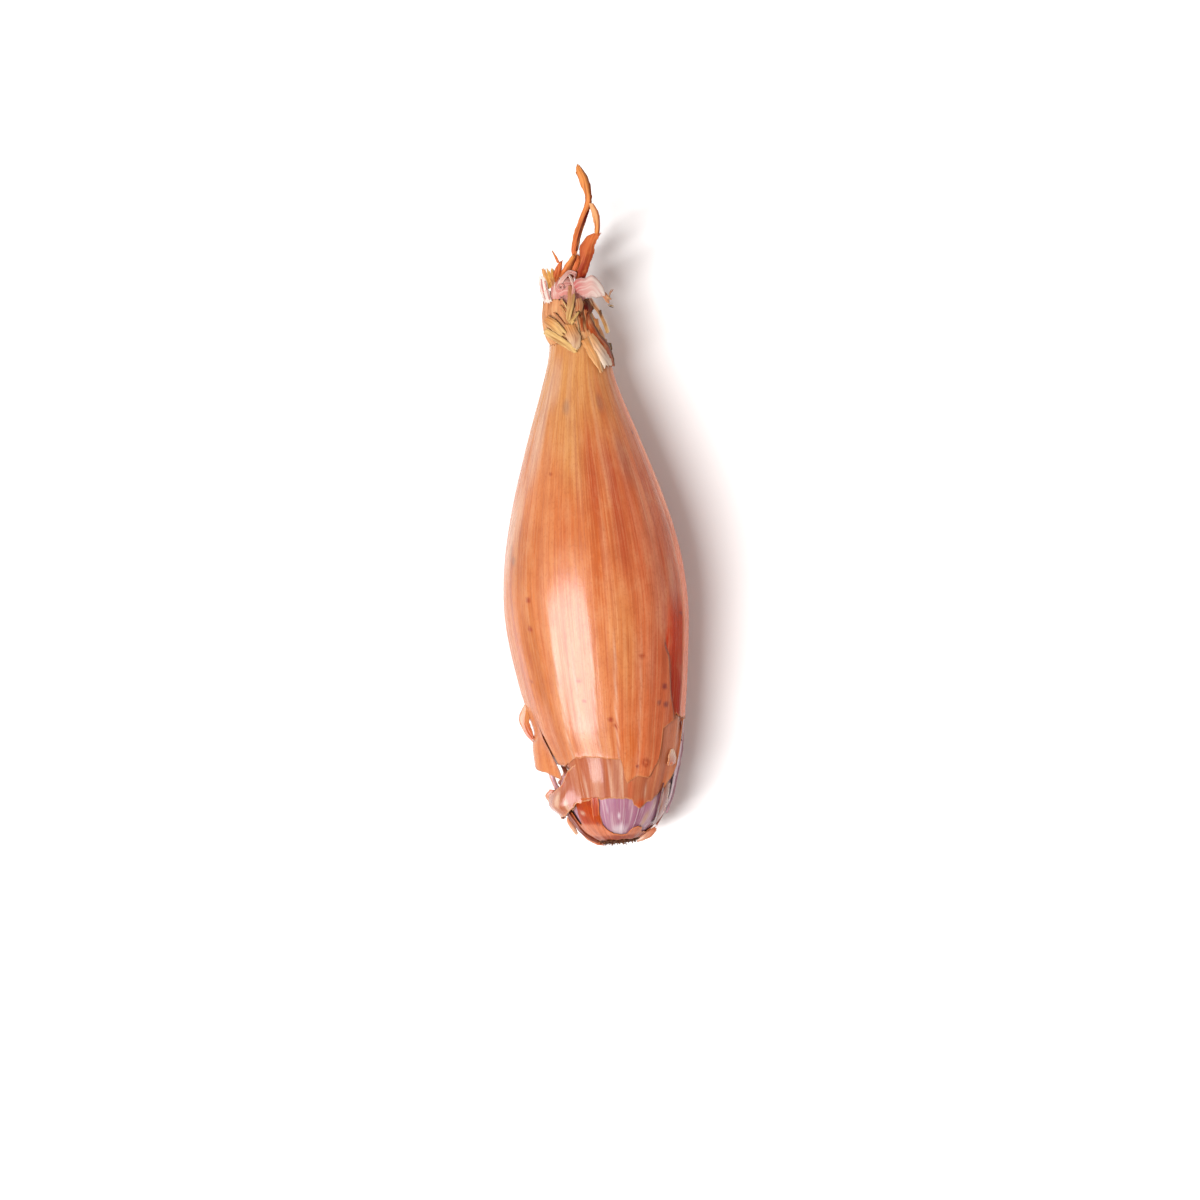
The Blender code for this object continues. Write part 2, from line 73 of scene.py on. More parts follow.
# Longitudinal creases of the dried skin, as angles at the belly, how far they drift by DRIFT_Y, and
# how deep they are.
CREASES = (-150, -118, -88, -58, -31, -5, 16, 34, 51, 69, 92, 122, 150, 176)
CREASE_DRIFT = -6.5
DRIFT_Y = -31.0
CREASE_DEPTH = 0.6
CREASE_TOP = (10.0, -6.0)

# Fine folds and slack waves of the skins, as height, cells round the body and length in y, and how
# far they sink the surface in all.
FOLDS = ((0.05, 90, 22.0), (0.07, 40, 30.0), (0.10, 14, 18.0))
FOLD_SINK = 0.16

# The torn edges, as angle, y. The outer skin also ends in a ragged edge at the neck. The rows of
# points are level down to where a skin's plain part ends, and follow its tear below that.
NECK_EDGE = 57.0
OUTER_PLAIN_END = -18.5
UNDER_TOP = -14.0
UNDER_PLAIN_END = -20.0
OUTER_TEAR = (
    (-128, -31.5), (-118, -33.0), (-106, -32.2), (-95, -31.8), (-86, -32.4), (-78, -33.5),
    (-70, -35.2), (-66.1, -35.9), (-65.9, -34.3), (-60, -33.5), (-50, -32.6), (-35, -31.4),
    (-24, -31.3), (-12, -31.7), (1, -32.0), (4.6, -32.4), (6.4, -35.2), (8.3, -37.4),
    (12.6, -37.0), (15.5, -36.2), (22, -36.1), (30.5, -36.6), (34, -35.2), (37.5, -34.1),
    (39.9, -32.1), (41.8, -26.4), (51, -24.9), (55.3, -23.5), (68, -24.5), (83, -24.6),
    (98, -26.0), (112, -24.5), (124, -30.0), (138, -33.5), (150, -32.0), (165, -34.5),
    (180, -35.5), (195, -33.8), (210, -33.0), (221, -34.4), (232, -31.5),
)
UNDER_TEAR = (
    (-135, -41.0), (-126, -42.6), (-112, -43.6), (-98, -43.7), (-84, -43.1), (-76, -42.9),
    (-68, -42.9), (-60, -42.2), (-51, -41.1), (-40, -40.7), (-25.6, -40.4), (-6, -40.4),
    (5, -40.5), (14.4, -41.0), (16, -42.2), (20, -42.7), (24, -43.2), (27, -42.8), (31, -41.8),
    (36, -41.6), (44, -40.8), (51, -39.6), (56, -38.3), (62, -36.5), (67.5, -34.7),
    (69.5, -32.0), (72.6, -30.0), (74, -25.2), (88, -25.0), (100, -26.0), (112, -26.6),
    (122, -33.0), (130, -38.0), (145, -41.5),
    (165, -40.5), (180, -42.0), (195, -41.0), (210, -41.6), (225, -41.0),
)
BASE_TEAR = (
    (-135, -41.8), (-126, -42.2), (-112, -42.4), (-98, -42.6), (-84, -42.4), (-76, -43.8),
    (-70, -46.6), (-62, -45.4), (-57, -42.8), (-53, -40.2), (-38, -40.0), (-24.6, -40.0),
    (-24.4, -46.2), (-20, -47.3), (-10, -48.4), (-1, -48.8), (14.3, -48.8), (17.6, -48.3),
    (20.5, -47.8), (23.8, -47.3), (32, -47.2), (40.3, -47.5), (44, -48.4), (54.6, -48.7),
    (63, -48.8), (75, -48.2), (90, -47.7), (110, -46.5), (125, -43.7), (140, -42.8),
    (165, -42.2), (180, -43.0), (195, -42.2), (210, -42.6), (225, -41.8),
)

# The flap of the under skin at the lower left: how far it stands off, by y, the angles where it
# starts and ends, and its torn upper edge as angle, y.
FLAP_REACH = (
    (-30.0, 0.0), (-36.0, 0.4), (-38.0, 1.6), (-39.5, 2.7), (-40.8, 3.1), (-42.9, 1.9),
    (-45.0, 1.5), (-48.5, 1.2),
)
LOBE_START = -38.0
LOBE_END = -130.0
LOBE_GAP = 0.05
LOBE_TOP = (
    (-130.0, -38.4), (-112.0, -38.8), (-90.0, -38.6), (-75.0, -38.0),
    (-64.0, -36.9), (-56.0, -35.4), (-48.0, -33.8), (-38.0, -32.6),
)

# A slit at the left of the outer skin, as y, angle; the loose flake beyond it, as y, lift; and the
# hollow there in what lies below. The columns of points run straight at SLIT_ANGLE above the slit
# and bend along it within SLIT_REACH.
SLIT_ANGLE = -66.0
SLIT = (
    (-24.0, -70.0), (-26.1, -68.6), (-29.0, -66.0), (-31.6, -63.5), (-34.0, -62.0), (-37.0, -61.0),
)
SLIT_REACH = 18.0
SLIT_BEND = (-16.0, -22.0)
SLIT_SHADE_TOP = (-22.0, -25.0)
SLIT_TOP = -26.2
FLAKE_LIFT = ((-26.0, 0.5), (-27.7, 1.3), (-29.2, 2.0), (-32.3, 3.0), (-35.6, 3.2))
FLAKE_RISE = 20.0
SLIT_GAP = 0.3
FLAKE_BACK = (-112.0, -90.0)
FLAKE_TOP = (-24.5, -28.0)
HOLLOW = 2.6
HOLLOW_Y = (-32.2, -34.8, -37.0, -39.6)
HOLLOW_ANGLES = (-130.0, -104.0, -64.0, -46.0)

# A crack at the right of the outer skin, as y, angle, and the step down on its far side. The columns
# of points bend along it in the same way.
CRACK_ANGLE = 51.0
CRACK = (
    (-5.0, 45.0), (-9.0, 46.0), (-11.3, 49.3), (-15.2, 50.7), (-19.2, 52.3), (-23.1, 56.0),
    (-26.0, 57.0),
)
CRACK_STEP = 0.25
CRACK_STEP_TOP = (-7.5, -11.5)
CRACK_REACH = 14.0
CRACK_BEND = (2.0, -6.0)
CRACK_SHADE_TOP = (-7.0, -9.0)

# Depth of each layer under the body surface, and thickness of the papery ones. The bulb lies
# deeper where the skins cover it.
UNDER_DEPTH = 0.3
BASE_DEPTH = 0.45
FLESH_DEPTH = 0.74
COVERED_DEPTH = 1.1
PAPER = 0.12

# The camera looks straight down from this height over this place.
CAMERA_HEIGHT = 734.5
CAMERA_MIDDLE = (0.9, 1.65)

# How bright a white surface shows in full light, where 1 is the screen's white.
FULL_LIGHT = 1.4

# How finely the skins are divided: degrees round the body, millimetres along it, and rows from the
# plain part down to a torn edge. TEAR_RAGGED is how far that edge wavers.
TURN_STEP = 1.5
ROW_STEP = 0.55
TEAR_ROWS = 40
TEAR_RAGGED = 0.14

# A soft patch of colour is full at its middle and gone at this many times its reach.
PATCH_END = 1.35

# The edge layer where no torn edge is near.
NO_EDGE = 9.0


def smooth(t):
    """Goes smoothly from 0 to 1 as t does, and stays there."""
    t = np.clip(t, 0.0, 1.0)
    return t * t * (3.0 - 2.0 * t)


def ramp(value, start, full):
    """Goes smoothly from 0 at start to 1 at full, which may lie on either side of it."""
    return smooth((value - start) / (full - start))


def window(value, start, full, last, end):
    """Goes from 0 at start to 1 at full, and back from 1 at last to 0 at end."""
    return ramp(value, start, full) * ramp(value, end, last)


def bell(value, middle, width):
    """1 at the middle, about a third at the width from it, and 0 far off."""
    return np.exp(-((value - middle) / width) ** 2)


def wrap(angle):
    """The same angle between -180 and 180."""
    return (angle + 180.0) % 360.0 - 180.0


def toward(tint, shade, share):
    """Moves a tint toward another by a share at each point."""
    return tint + np.asarray(share)[..., None] * (shade - tint)


def read_curve(stations, at):
    """Values at places between stations, on smooth curves through them, one column a value."""
    table = np.array(sorted(stations), dtype=float)
    where, values = table[:, 0], table[:, 1:]
    slopes = np.empty_like(values)
    slopes[1:-1] = (values[2:] - values[:-2]) / (where[2:] - where[:-2])[:, None]
    slopes[0] = (values[1] - values[0]) / (where[1] - where[0])
    slopes[-1] = (values[-1] - values[-2]) / (where[-1] - where[-2])
    at = np.clip(np.asarray(at, dtype=float), where[0], where[-1])
    i = np.clip(np.searchsorted(where, at) - 1, 0, len(where) - 2)
    gap = (where[i + 1] - where[i])[..., None]
    t = (at - where[i])[..., None] / gap
    cube, square = t ** 3, t ** 2
    return ((2 * cube - 3 * square + 1) * values[i] + (cube - 2 * square + t) * gap * slopes[i]
            + (3 * square - 2 * cube) * values[i + 1] + (cube - square) * gap * slopes[i + 1])


def read_steps(stations, at):
    """Values on smooth curves through stations that are numbered from 0."""
    return read_curve([(k, *station) for k, station in enumerate(stations)], at)


def read_tear(tear, angle):
    """The y of a torn edge at an angle, straight between its points and the same after a turn."""
    table = np.array(tear, dtype=float)
    first = table[0, 0]
    turned = (np.asarray(angle) - first) % 360.0 + first
    around, level = np.append(table[:, 0], first + 360.0), np.append(table[:, 1], table[0, 1])
    return np.interp(turned, around, level)


def ripple(seed, angle, y, cells, along):
    """Smooth noise from -1 to 1 round the body: so many cells in a turn, each so long in y. Each seed
    has a pattern of its own."""
    rows = 61
    table = np.random.default_rng(seed).uniform(-1.0, 1.0, (rows, cells))
    u = (np.asarray(angle, dtype=float) / 360.0 % 1.0) * cells
    v = (np.asarray(y, dtype=float) / along) % rows
    i, j = np.floor(v).astype(int) % rows, np.floor(u).astype(int) % cells
    s, t = smooth(v - np.floor(v)), smooth(u - np.floor(u))
    below, beside = (i + 1) % rows, (j + 1) % cells
    near = table[i, j] * (1 - t) + table[i, beside] * t
    far = table[below, j] * (1 - t) + table[below, beside] * t
    return near * (1 - s) + far * s


def meridian(y, angle):
    """The angle that the vein through a place has at the belly."""
    return angle - CREASE_DRIFT * np.clip(np.minimum(y, 0.0) / DRIFT_Y, 0.0, 1.3) ** 2


def body_radius(y):
    """The radius of the body outline."""
    return read_curve(BODY, y)[..., 1]


def panel_lift(y, angle):
    """Flat panels between creases, as the dried skin of the lower half has them."""
    vein = wrap(meridian(y, angle))
    marks = np.array(CREASES, dtype=float)
    marks = np.concatenate([[marks[-1] - 360.0], marks, [marks[0] + 360.0]])
    i = np.clip(np.searchsorted(marks, vein) - 1, 0, len(marks) - 2)
    half = np.radians(marks[i + 1] - marks[i]) / 2
    away = np.radians(vein - marks[i]) - half
    strength = CREASE_DEPTH * ramp(y, *CREASE_TOP)
    return strength * body_radius(y) * (np.cos(half) / np.cos(away) - 1.0)


def skin_relief(y, angle, seed):
    """Fine folds along the veins and slack waves, in millimetres below the surface."""
    vein = meridian(y, angle)
    relief = 0.0
    for k, (height, cells, along) in enumerate(FOLDS):
        relief = relief + height * ripple(seed + k, vein, y, cells, along)
    return relief - FOLD_SINK


def body_point(y, angle, lift=0.0):
    """Places on the body surface, or lifted off it along its outward direction."""
    y, angle = np.broadcast_arrays(np.asarray(y, dtype=float), np.asarray(angle, dtype=float))
    here = read_curve(BODY, y)
    shift, radius = here[..., 0], here[..., 1]
    step = 0.2
    slope = (body_radius(y + step) - body_radius(y - step)) / (2 * step)
    turn = np.radians(angle)
    radius = radius * (1 + OVAL * np.sin(2 * turn) + RIBS * np.sin(RIB_COUNT * turn))
    length = np.hypot(1.0, slope)
    reach = radius + lift / length
    x = shift + reach * np.sin(turn)
    z = AXIS_HEIGHT + reach * np.cos(turn)
    floor = np.maximum(-np.asarray(lift, dtype=float), 0.0)
    return np.stack([x, y - lift * slope / length, np.maximum(z, floor)], axis=-1)


def round_axis(reach, y, turn, shift=0.0, height=0.0):
    """Places at a reach from a line along Y, at a turn round it."""
    return np.stack([shift + reach * np.sin(turn), y + 0 * turn, height + reach * np.cos(turn)], axis=-1)


def colour(red, green, blue):
    """The surface colour that shows on a screen as these numbers, 0 to 255, where the light is full."""
    return np.array([(value / 255.0) ** 2.2 / FULL_LIGHT for value in (red, green, blue)])


def paint(tint, y, angle, patches):
    """Lays soft patches over a tint: y, angle, reach in y, reach in angle, colour and strength."""
    for at_y, at_angle, reach_y, reach_angle, shade, strength in patches:
        away = np.hypot((y - at_y) / reach_y, wrap(angle - at_angle) / reach_angle)
        tint = toward(tint, shade, strength * smooth(PATCH_END - away))
    return tint


class Stock:
    """Collects the points, faces and layers of one piece."""

    def __init__(self):
        self.points, self.place, self.tint, self.edge, self.gloss, self.faces = [], [], [], [], [], []
        self.count = 0

    def add_grid(self, points, place, tint, edge, closed=False, skip=None, gloss=1.0):
        """Adds a sheet from a grid of rows and columns. closed joins the last column to the first.
        skip is True where a face between two rows and two columns stays open."""
        rows, columns = points.shape[:2]
        number = np.arange(rows * columns).reshape(rows, columns) + self.count
        beside = np.roll(number, -1, axis=1)
        last = columns if closed else columns - 1
        corners = number[:-1, :last], number[1:, :last], beside[1:, :last], beside[:-1, :last]
        quads = np.stack(corners, axis=-1)
        if skip is not None:
            quads = quads[~skip[:, :last]]
        self.faces.extend(quads.reshape(-1, 4).tolist())
        for kept, given in ((self.points, points), (self.place, place), (self.tint, tint)):
            kept.append(np.broadcast_to(given, (rows, columns, 3)).reshape(-1, 3))
        for kept, given in ((self.edge, edge), (self.gloss, gloss)):
            kept.append(np.broadcast_to(given, (rows, columns)).reshape(-1))
        self.count += rows * columns
        return number

    def add_cap(self, ring, points, tint, turned=False):
        """Closes a ring of points with a fan round its middle. turned makes it face the other way."""
        middle = points.mean(axis=0)
        cap = self.add_grid(middle[None, None], middle, tint, NO_EDGE)[0, 0]
        beside = np.roll(ring, -1)
        for a, b in zip(beside, ring) if turned else zip(ring, beside):
            self.faces.append((int(a), int(b), int(cap)))


def add_skin(stock, y, angle, lift, tint, edge, closed=True, **more):
    """Adds a sheet that follows the body."""
    place = place_layer(y, angle)
    stock.add_grid(body_point(y, angle, lift), place, tint, edge, closed=closed, **more)


def fill_layer(mesh, name, kind, key, values):
    layer = mesh.attributes.new(name, kind, "POINT")
    layer.data.foreach_set(key, np.asarray(values, dtype=np.float32).ravel())


def make_piece(name, stock, material, node, thickness=0.0):
    """Turns collected sheets into a piece that stands for a node of the frame."""
    mesh = bpy.data.meshes.new(name)
    mesh.from_pydata((np.concatenate(stock.points) * MM).tolist(), [], stock.faces)
    fill_layer(mesh, "place", "FLOAT_VECTOR", "vector", np.concatenate(stock.place))
    tint = np.concatenate(stock.tint)
    fill_layer(mesh, "tint", "FLOAT_COLOR", "color", np.column_stack([tint, np.ones(len(tint))]))
    fill_layer(mesh, "edge", "FLOAT", "value", np.concatenate(stock.edge))
    fill_layer(mesh, "gloss", "FLOAT", "value", np.concatenate(stock.gloss))
    mesh.shade_smooth()
    mesh.materials.append(material)
    piece = bpy.data.objects.new(name, mesh)
    bpy.context.scene.collection.objects.link(piece)
    if thickness:
        paper = piece.modifiers.new("Paper", "SOLIDIFY")
        paper.thickness = thickness * MM
        paper.offset = -1.0
    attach(piece, "root")
    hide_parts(node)
    return piece


def add_node(tree, kind, links=(), **settings):
    """Adds a node, with its settings and the values or links of its inputs."""
    node = tree.nodes.new("ShaderNode" + kind)
    for key, value in settings.items():
        setattr(node, key, value)
    for key, value in dict(links).items():
        if isinstance(value, bpy.types.NodeSocket):
            tree.links.new(value, node.inputs[key])
        else:
            node.inputs[key].default_value = value
    return node


def veins(tree, place, across, along, detail=3.0, roughness=0.55):
    """Noise drawn out along the veins, with so many cells a millimetre across and along."""
    scaled = add_node(tree, "VectorMath", {0: place, 1: (across, along, across)}, operation="MULTIPLY")
    noise = add_node(tree, "TexNoise", {"Vector": scaled.outputs[0], "Scale": 1.0, "Detail": detail,
                                        "Roughness": roughness})
    return noise.outputs[0]


def span(tree, value, low, high, to_low=0.0, to_high=1.0):
    """Maps a value from one range to another, clamped."""
    node = add_node(tree, "MapRange", {0: value, 1: low, 2: high, 3: to_low, 4: to_high}, clamp=True)
    return node.outputs[0]


def blend(tree, share, first, second):
    """Mixes two colours. share, first and second are sockets or values."""
    node = add_node(tree, "Mix", {0: share, 6: first, 7: second}, data_type="RGBA")
    return node.outputs[2]


def add_up(tree, first, *others):
    """The sum of some noises."""
    for other in others:
        first = add_node(tree, "Math", {0: first, 1: other}, operation="ADD").outputs[0]
    return first


def wash(tree, shown, washes):
    """Lays colours over one another. Each wash is the noise or layer that places it, the values there
    where it starts and is full, how strong it gets, and its colour."""
    for where, start, full, strength, shade in washes:
        if not isinstance(shade, bpy.types.NodeSocket):
            shade = (*shade, 1.0)
        shown = blend(tree, span(tree, where, start, full, 0.0, strength), shown, shade)
    return shown


def new_material(name):
    """A material with its node tree and shader, and the layers that each piece carries."""
    material = bpy.data.materials.new(name)
    material.use_nodes = True
    tree = material.node_tree
    place = add_node(tree, "Attribute", attribute_name="place").outputs["Vector"]
    tint = add_node(tree, "Attribute", attribute_name="tint").outputs["Color"]
    edge = add_node(tree, "Attribute", attribute_name="edge").outputs["Fac"]
    return material, tree, tree.nodes["Principled BSDF"], place, tint, edge


def dress(tree, shader, shown, noise, rough):
    """Gives the shader its colour, and a roughness between two values that follows a noise."""
    tree.links.new(shown, shader.inputs["Base Color"])
    tree.links.new(span(tree, noise, 0.3, 0.7, *rough), shader.inputs["Roughness"])


def set_bump(tree, shader, height, strength, distance):
    bump = add_node(tree, "Bump", {"Strength": strength, "Distance": distance * MM, "Height": height})
    tree.links.new(bump.outputs[0], shader.inputs["Normal"])


def papery(name, pale, dark, rim, rough):
    """Dried glossy skin: fine pale and dark veins over its tint, and a rim along torn edges."""
    material, tree, shader, place, tint, edge = new_material(name)
    fine = veins(tree, place, 5.0, 0.05, detail=2.0)
    broad = veins(tree, place, 1.5, 0.02, roughness=0.65)
    mottle = veins(tree, place, 0.55, 0.16, detail=5.0, roughness=0.6)
    grain = veins(tree, place, 3.0, 1.6, detail=2.0)
    light = blend(tree, 0.6, tint, (*pale, 1.0))
    shown = wash(tree, tint, (
        (fine, 0.50, 0.75, 0.44, light), (fine, 0.50, 0.25, 0.40, dark),
        (broad, 0.50, 0.72, 0.44, light), (broad, 0.50, 0.30, 0.36, dark),
        (mottle, 0.50, 0.68, 0.24, dark), (mottle, 0.50, 0.32, 0.28, light),
        (grain, 0.52, 0.70, 0.24, dark), (edge, 0.35, 0.0, 0.75, rim),
    ))
    dress(tree, shader, shown, broad, (rough + 0.08, rough - 0.04))
    set_bump(tree, shader, add_up(tree, fine, broad, grain), 0.30, 0.06)
    shine = add_node(tree, "Attribute", attribute_name="gloss").outputs["Fac"]
    tree.links.new(span(tree, shine, 0.0, 1.0, 0.0, 0.6), shader.inputs["Specular IOR Level"])
    return material


def fibrous(name, pale, dark):
    """Dry dull strips: strong fibres along their length and paler frayed edges."""
    material, tree, shader, place, tint, edge = new_material(name)
    fine = veins(tree, place, 2.3, 0.12)
    broad = veins(tree, place, 0.9, 0.10)
    mottle = veins(tree, place, 0.9, 0.5, detail=4.0)
    shown = wash(tree, tint, (
        (fine, 0.50, 0.70, 0.52, pale), (fine, 0.50, 0.30, 0.60, dark),
        (broad, 0.48, 0.30, 0.50, dark), (mottle, 0.52, 0.72, 0.30, pale),
        (edge, 0.18, 0.0, 0.40, pale),
    ))
    dress(tree, shader, shown, mottle, (0.42, 0.62))
    set_bump(tree, shader, add_up(tree, fine, broad), 0.7, 0.2)
    shader.inputs["Specular IOR Level"].default_value = 0.12
    return material


def fleshy(name):
    """Moist bulb flesh: cream veins on purple under a thin glossy surface."""
    material, tree, shader, place, tint, _ = new_material(name)
    fine = veins(tree, place, 2.6, 0.08)
    broad = veins(tree, place, 0.9, 0.10)
    cream, deep = colour(232, 206, 206), colour(164, 98, 138)
    shown = wash(tree, tint, (
        (fine, 0.54, 0.72, 0.60, cream), (fine, 0.46, 0.30, 0.55, deep),
        (broad, 0.56, 0.70, 0.60, cream),
    ))
    dress(tree, shader, shown, broad, (0.24, 0.36))
    set_bump(tree, shader, fine, 0.25, 0.1)
    shader.inputs["Subsurface Weight"].default_value = 0.15
    shader.inputs["Subsurface Radius"].default_value = (0.9 * MM, 0.4 * MM, 0.4 * MM)
    return material


def corky(name):
    """The root plate and its roots: dull brown cork with dark pits."""
    material, tree, shader, place, tint, _ = new_material(name)
    grain = veins(tree, place, 2.2, 2.2, detail=5.0, roughness=0.65)
    pits = add_node(tree, "TexVoronoi", {"Vector": place, "Scale": 1.6}).outputs[0]
    shown = wash(tree, tint, (
        (grain, 0.50, 0.70, 0.7, colour(196, 142, 96)), (pits, 0.35, 0.0, 0.7, colour(62, 38, 24)),
    ))
    dress(tree, shader, shown, grain, (0.65, 0.9))
    set_bump(tree, shader, grain, 0.8, 0.3)
    shader.inputs["Specular IOR Level"].default_value = 0.1
    return material


# Broad colours of the skins, as they look before light and shade, except for the pale colours of the
# right limb and of the rim past the deep patch, which are painted light and a painted reflection.
# Some pale patches are painted sheen and highlights.
GOLDEN = colour(226, 156, 88)
ORANGE = colour(222, 130, 74)
AMBER_SKIN = colour(212, 100, 36)
OCHRE = colour(198, 110, 44)
COPPER = colour(218, 106, 66)
RUST = colour(192, 78, 44)
DEEP = colour(212, 54, 8)
DEEPER = colour(176, 14, 0)
ROSE = colour(232, 146, 116)
MAUVE = colour(166, 96, 84)
SMOKE = colour(150, 112, 92)
SPECK = colour(160, 42, 16)
BRUISE = colour(134, 58, 60)
PALE = colour(240, 200, 172)
# Painted light: the right limb is painted brighter than its own colour, as if it were lit from the right.
LIMB_PAINTED_LIGHT = colour(306, 198, 156)
# Painted reflection: the pale rim past the crease of the deep patch, in place of the white table seen in
# gloss.
RIM_PAINTED_REFLECTION = colour(284, 154, 108)
CRACK_SHADE = colour(112, 42, 26)
OUTER_PATCHES = (
    (38.6, -18.0, 9.0, 15.0, GOLDEN, 0.6), (30.0, -12.0, 9.0, 11.0, GOLDEN, 0.45),
    # The pale patches at -54, -66 and -76 degrees, on this line and the next, are a painted sheen on the
    # left edge.
    (19.0, -14.0, 8.0, 13.0, AMBER_SKIN, 0.45), (37.0, -54.0, 11.0, 10.0, PALE, 0.55),
    (20.0, -66.0, 9.0, 8.0, PALE, 0.45), (16.0, -76.0, 9.0, 8.0, PALE, 0.65),
    (11.6, -55.0, 9.0, 12.0, OCHRE, 0.75), (30.0, 5.0, 11.0, 5.0, RUST, 0.6),
    (22.0, 5.5, 9.0, 4.4, RUST, 0.5), (27.0, 21.0, 9.0, 4.6, RUST, 0.85),
    (16.0, 20.5, 10.0, 4.6, RUST, 0.75), (34.0, 14.0, 7.0, 4.0, RUST, 0.4),
    (30.8, 36.0, 6.0, 6.0, MAUVE, 0.6), (20.0, 31.0, 12.0, 4.0, COPPER, 0.6),
    (22.0, 46.0, 11.0, 7.0, ROSE, 0.35), (10.0, 36.0, 12.0, 8.0, COPPER, 0.5),
    (5.0, 52.0, 9.0, 9.0, RUST, 0.45), (40.0, 58.0, 9.0, 14.0, ROSE, 0.4),
    # On this line and the next, the patches at angles 84 and 88 are painted light on the right limb.
    (42.0, 84.0, 13.0, 20.0, LIMB_PAINTED_LIGHT, 0.9), (27.0, 84.0, 13.0, 17.0, LIMB_PAINTED_LIGHT, 0.9),
    (10.0, 88.0, 12.0, 11.0, LIMB_PAINTED_LIGHT, 0.9), (44.4, 27.0, 6.0, 6.0, RUST, 0.35),
    (11.0, 6.0, 10.0, 7.0, AMBER_SKIN, 0.5), (-7.0, 14.0, 13.0, 10.0, GOLDEN, 0.35),
    (-10.0, -50.0, 14.0, 9.0, OCHRE, 0.85), (-12.0, -66.0, 12.0, 6.0, COPPER, 0.6),
    # On the next line, the pale patch at y -27, angle -20 is a painted highlight at the low end of the
    # glossy panel.
    (-25.0, -50.0, 8.0, 12.0, OCHRE, 0.6), (-27.0, -20.0, 5.0, 9.0, PALE, 0.4),
    (-16.0, 38.0, 12.0, 7.0, COPPER, 0.75), (-8.0, 45.0, 8.0, 4.0, RUST, 0.4),
    (-29.8, 13.0, 5.0, 9.0, AMBER_SKIN, 0.7), (-33.0, 22.0, 3.0, 8.0, COPPER, 0.5),
    (-24.0, -56.0, 6.0, 10.0, ROSE, 0.35), (48.5, -42.0, 6.0, 13.0, PALE, 0.5),
    (11.3, -64.0, 1.0, 3.2, SMOKE, 0.75), (13.0, -70.0, 2.2, 3.0, SMOKE, 0.45),
    (43.0, -19.0, 1.8, 5.0, SMOKE, 0.6), (43.4, 25.0, 2.2, 5.0, SMOKE, 0.5),
)

# Specks, as y, angle, size and colour. SPECK_RADIUS turns a size into an angle.
SPECK_RADIUS = 12.5
SPECK_STRETCH = 1.2
SPECK_STRENGTH = 0.95
SPECKS = (
    (2.8, -47.0, 0.55, SPECK), (-3.4, -48.0, 0.55, SPECK), (-15.0, -17.0, 0.45, SPECK),
    (-19.3, -15.5, 0.35, SPECK), (-23.6, 1.5, 0.5, SPECK), (-24.9, 4.5, 0.4, SPECK),
    (-10.8, 27.0, 0.45, SPECK), (-17.6, 45.0, 0.6, BRUISE), (-20.9, 40.0, 0.5, BRUISE),
    (-21.4, 46.5, 0.6, BRUISE), (36.8, 62.0, 0.4, BRUISE), (-14.5, -58.0, 0.4, SPECK),
    (29.0, -31.0, 0.3, SPECK), (-34.0, 18.5, 0.35, BRUISE), (-2.5, 64.0, 0.4, BRUISE),
)

# A ring mark, as y, angle, length and width, and thin pale lines along the lower half, as the angle
# at the belly and the strength.
KNOT = (-33.3, 26.5, 1.3, 5.5)
PALE_LINE_WIDTH = 0.8
PALE_LINE_TOP = (-2.0, -12.0)
PALE_LINES = ((-31.0, 0.8), (-18.0, 0.35), (-5.0, 0.5), (9.5, 0.55), (27.0, 0.3))

# Where the skin turns to copper, by angle, and to golden, by y. The deep patch beyond the crack ends
# in a crease; past it lies a pale rim, a painted reflection of the white table.
COPPER_ANGLES = (-15.0, 55.0)
GOLDEN_Y = (26.0, 52.0)
DEEP_EDGE = 66.5
DEEP_Y = (4.0, -4.0, -23.0, -26.0)
PANEL_ANGLES = (-42.0, -36.0, -4.0, 1.0)

# Girths that turn angles into millimetres, for the veins of the body and of the dried neck.
BODY_GIRTH = 12.0
NECK_GIRTH = 6.0


def place_layer(y, angle):
    """Millimetres across and along the veins."""
    return round_axis(BODY_GIRTH, y, np.radians(meridian(y, angle)))


def outer_tint(y, angle):
    """The copper skin: redder at the right, golden at the neck, with patches, streaks and specks; some
    patches are painted light, sheen and highlights, and the rim past the deep patch is a painted
    reflection.
    """
    off = wrap(angle)
    vein = meridian(y, angle)
    right = ramp(off, *COPPER_ANGLES)
    tint = toward(ORANGE, COPPER, right)
    tint = toward(tint, GOLDEN, ramp(y, *GOLDEN_Y) * (1.0 - 0.35 * right))
    tint = paint(tint, y, angle, OUTER_PATCHES)
    streak = 0.8 * ripple(31, vein, y, 44, 15.0) + 0.6 * ripple(33, vein, y, 90, 12.0)
    tint = toward(tint, RUST, 0.18 * np.clip(streak, 0.0, 1.0))
    tint = toward(tint, PALE, 0.16 * np.clip(-streak, 0.0, 1.0))
    for at, strength in PALE_LINES:
        line = bell(wrap(vein - at), 0.0, PALE_LINE_WIDTH) * ramp(y, *PALE_LINE_TOP)
        tint = toward(tint, PALE, strength * line)
    tint = deep_patch(tint, y, off)
    for at_y, at, size, shade in SPECKS:
        across = math.degrees(size / SPECK_RADIUS)
        tint = paint(tint, y, angle, [(at_y, at, SPECK_STRETCH * size, across, shade, SPECK_STRENGTH)])
    knot_y, knot_angle, long, wide = KNOT
    ring = np.hypot((y - knot_y) / long, (off - knot_angle) / wide)
    return toward(tint, SPECK, 0.9 * bell(ring, 0.5, 0.24))


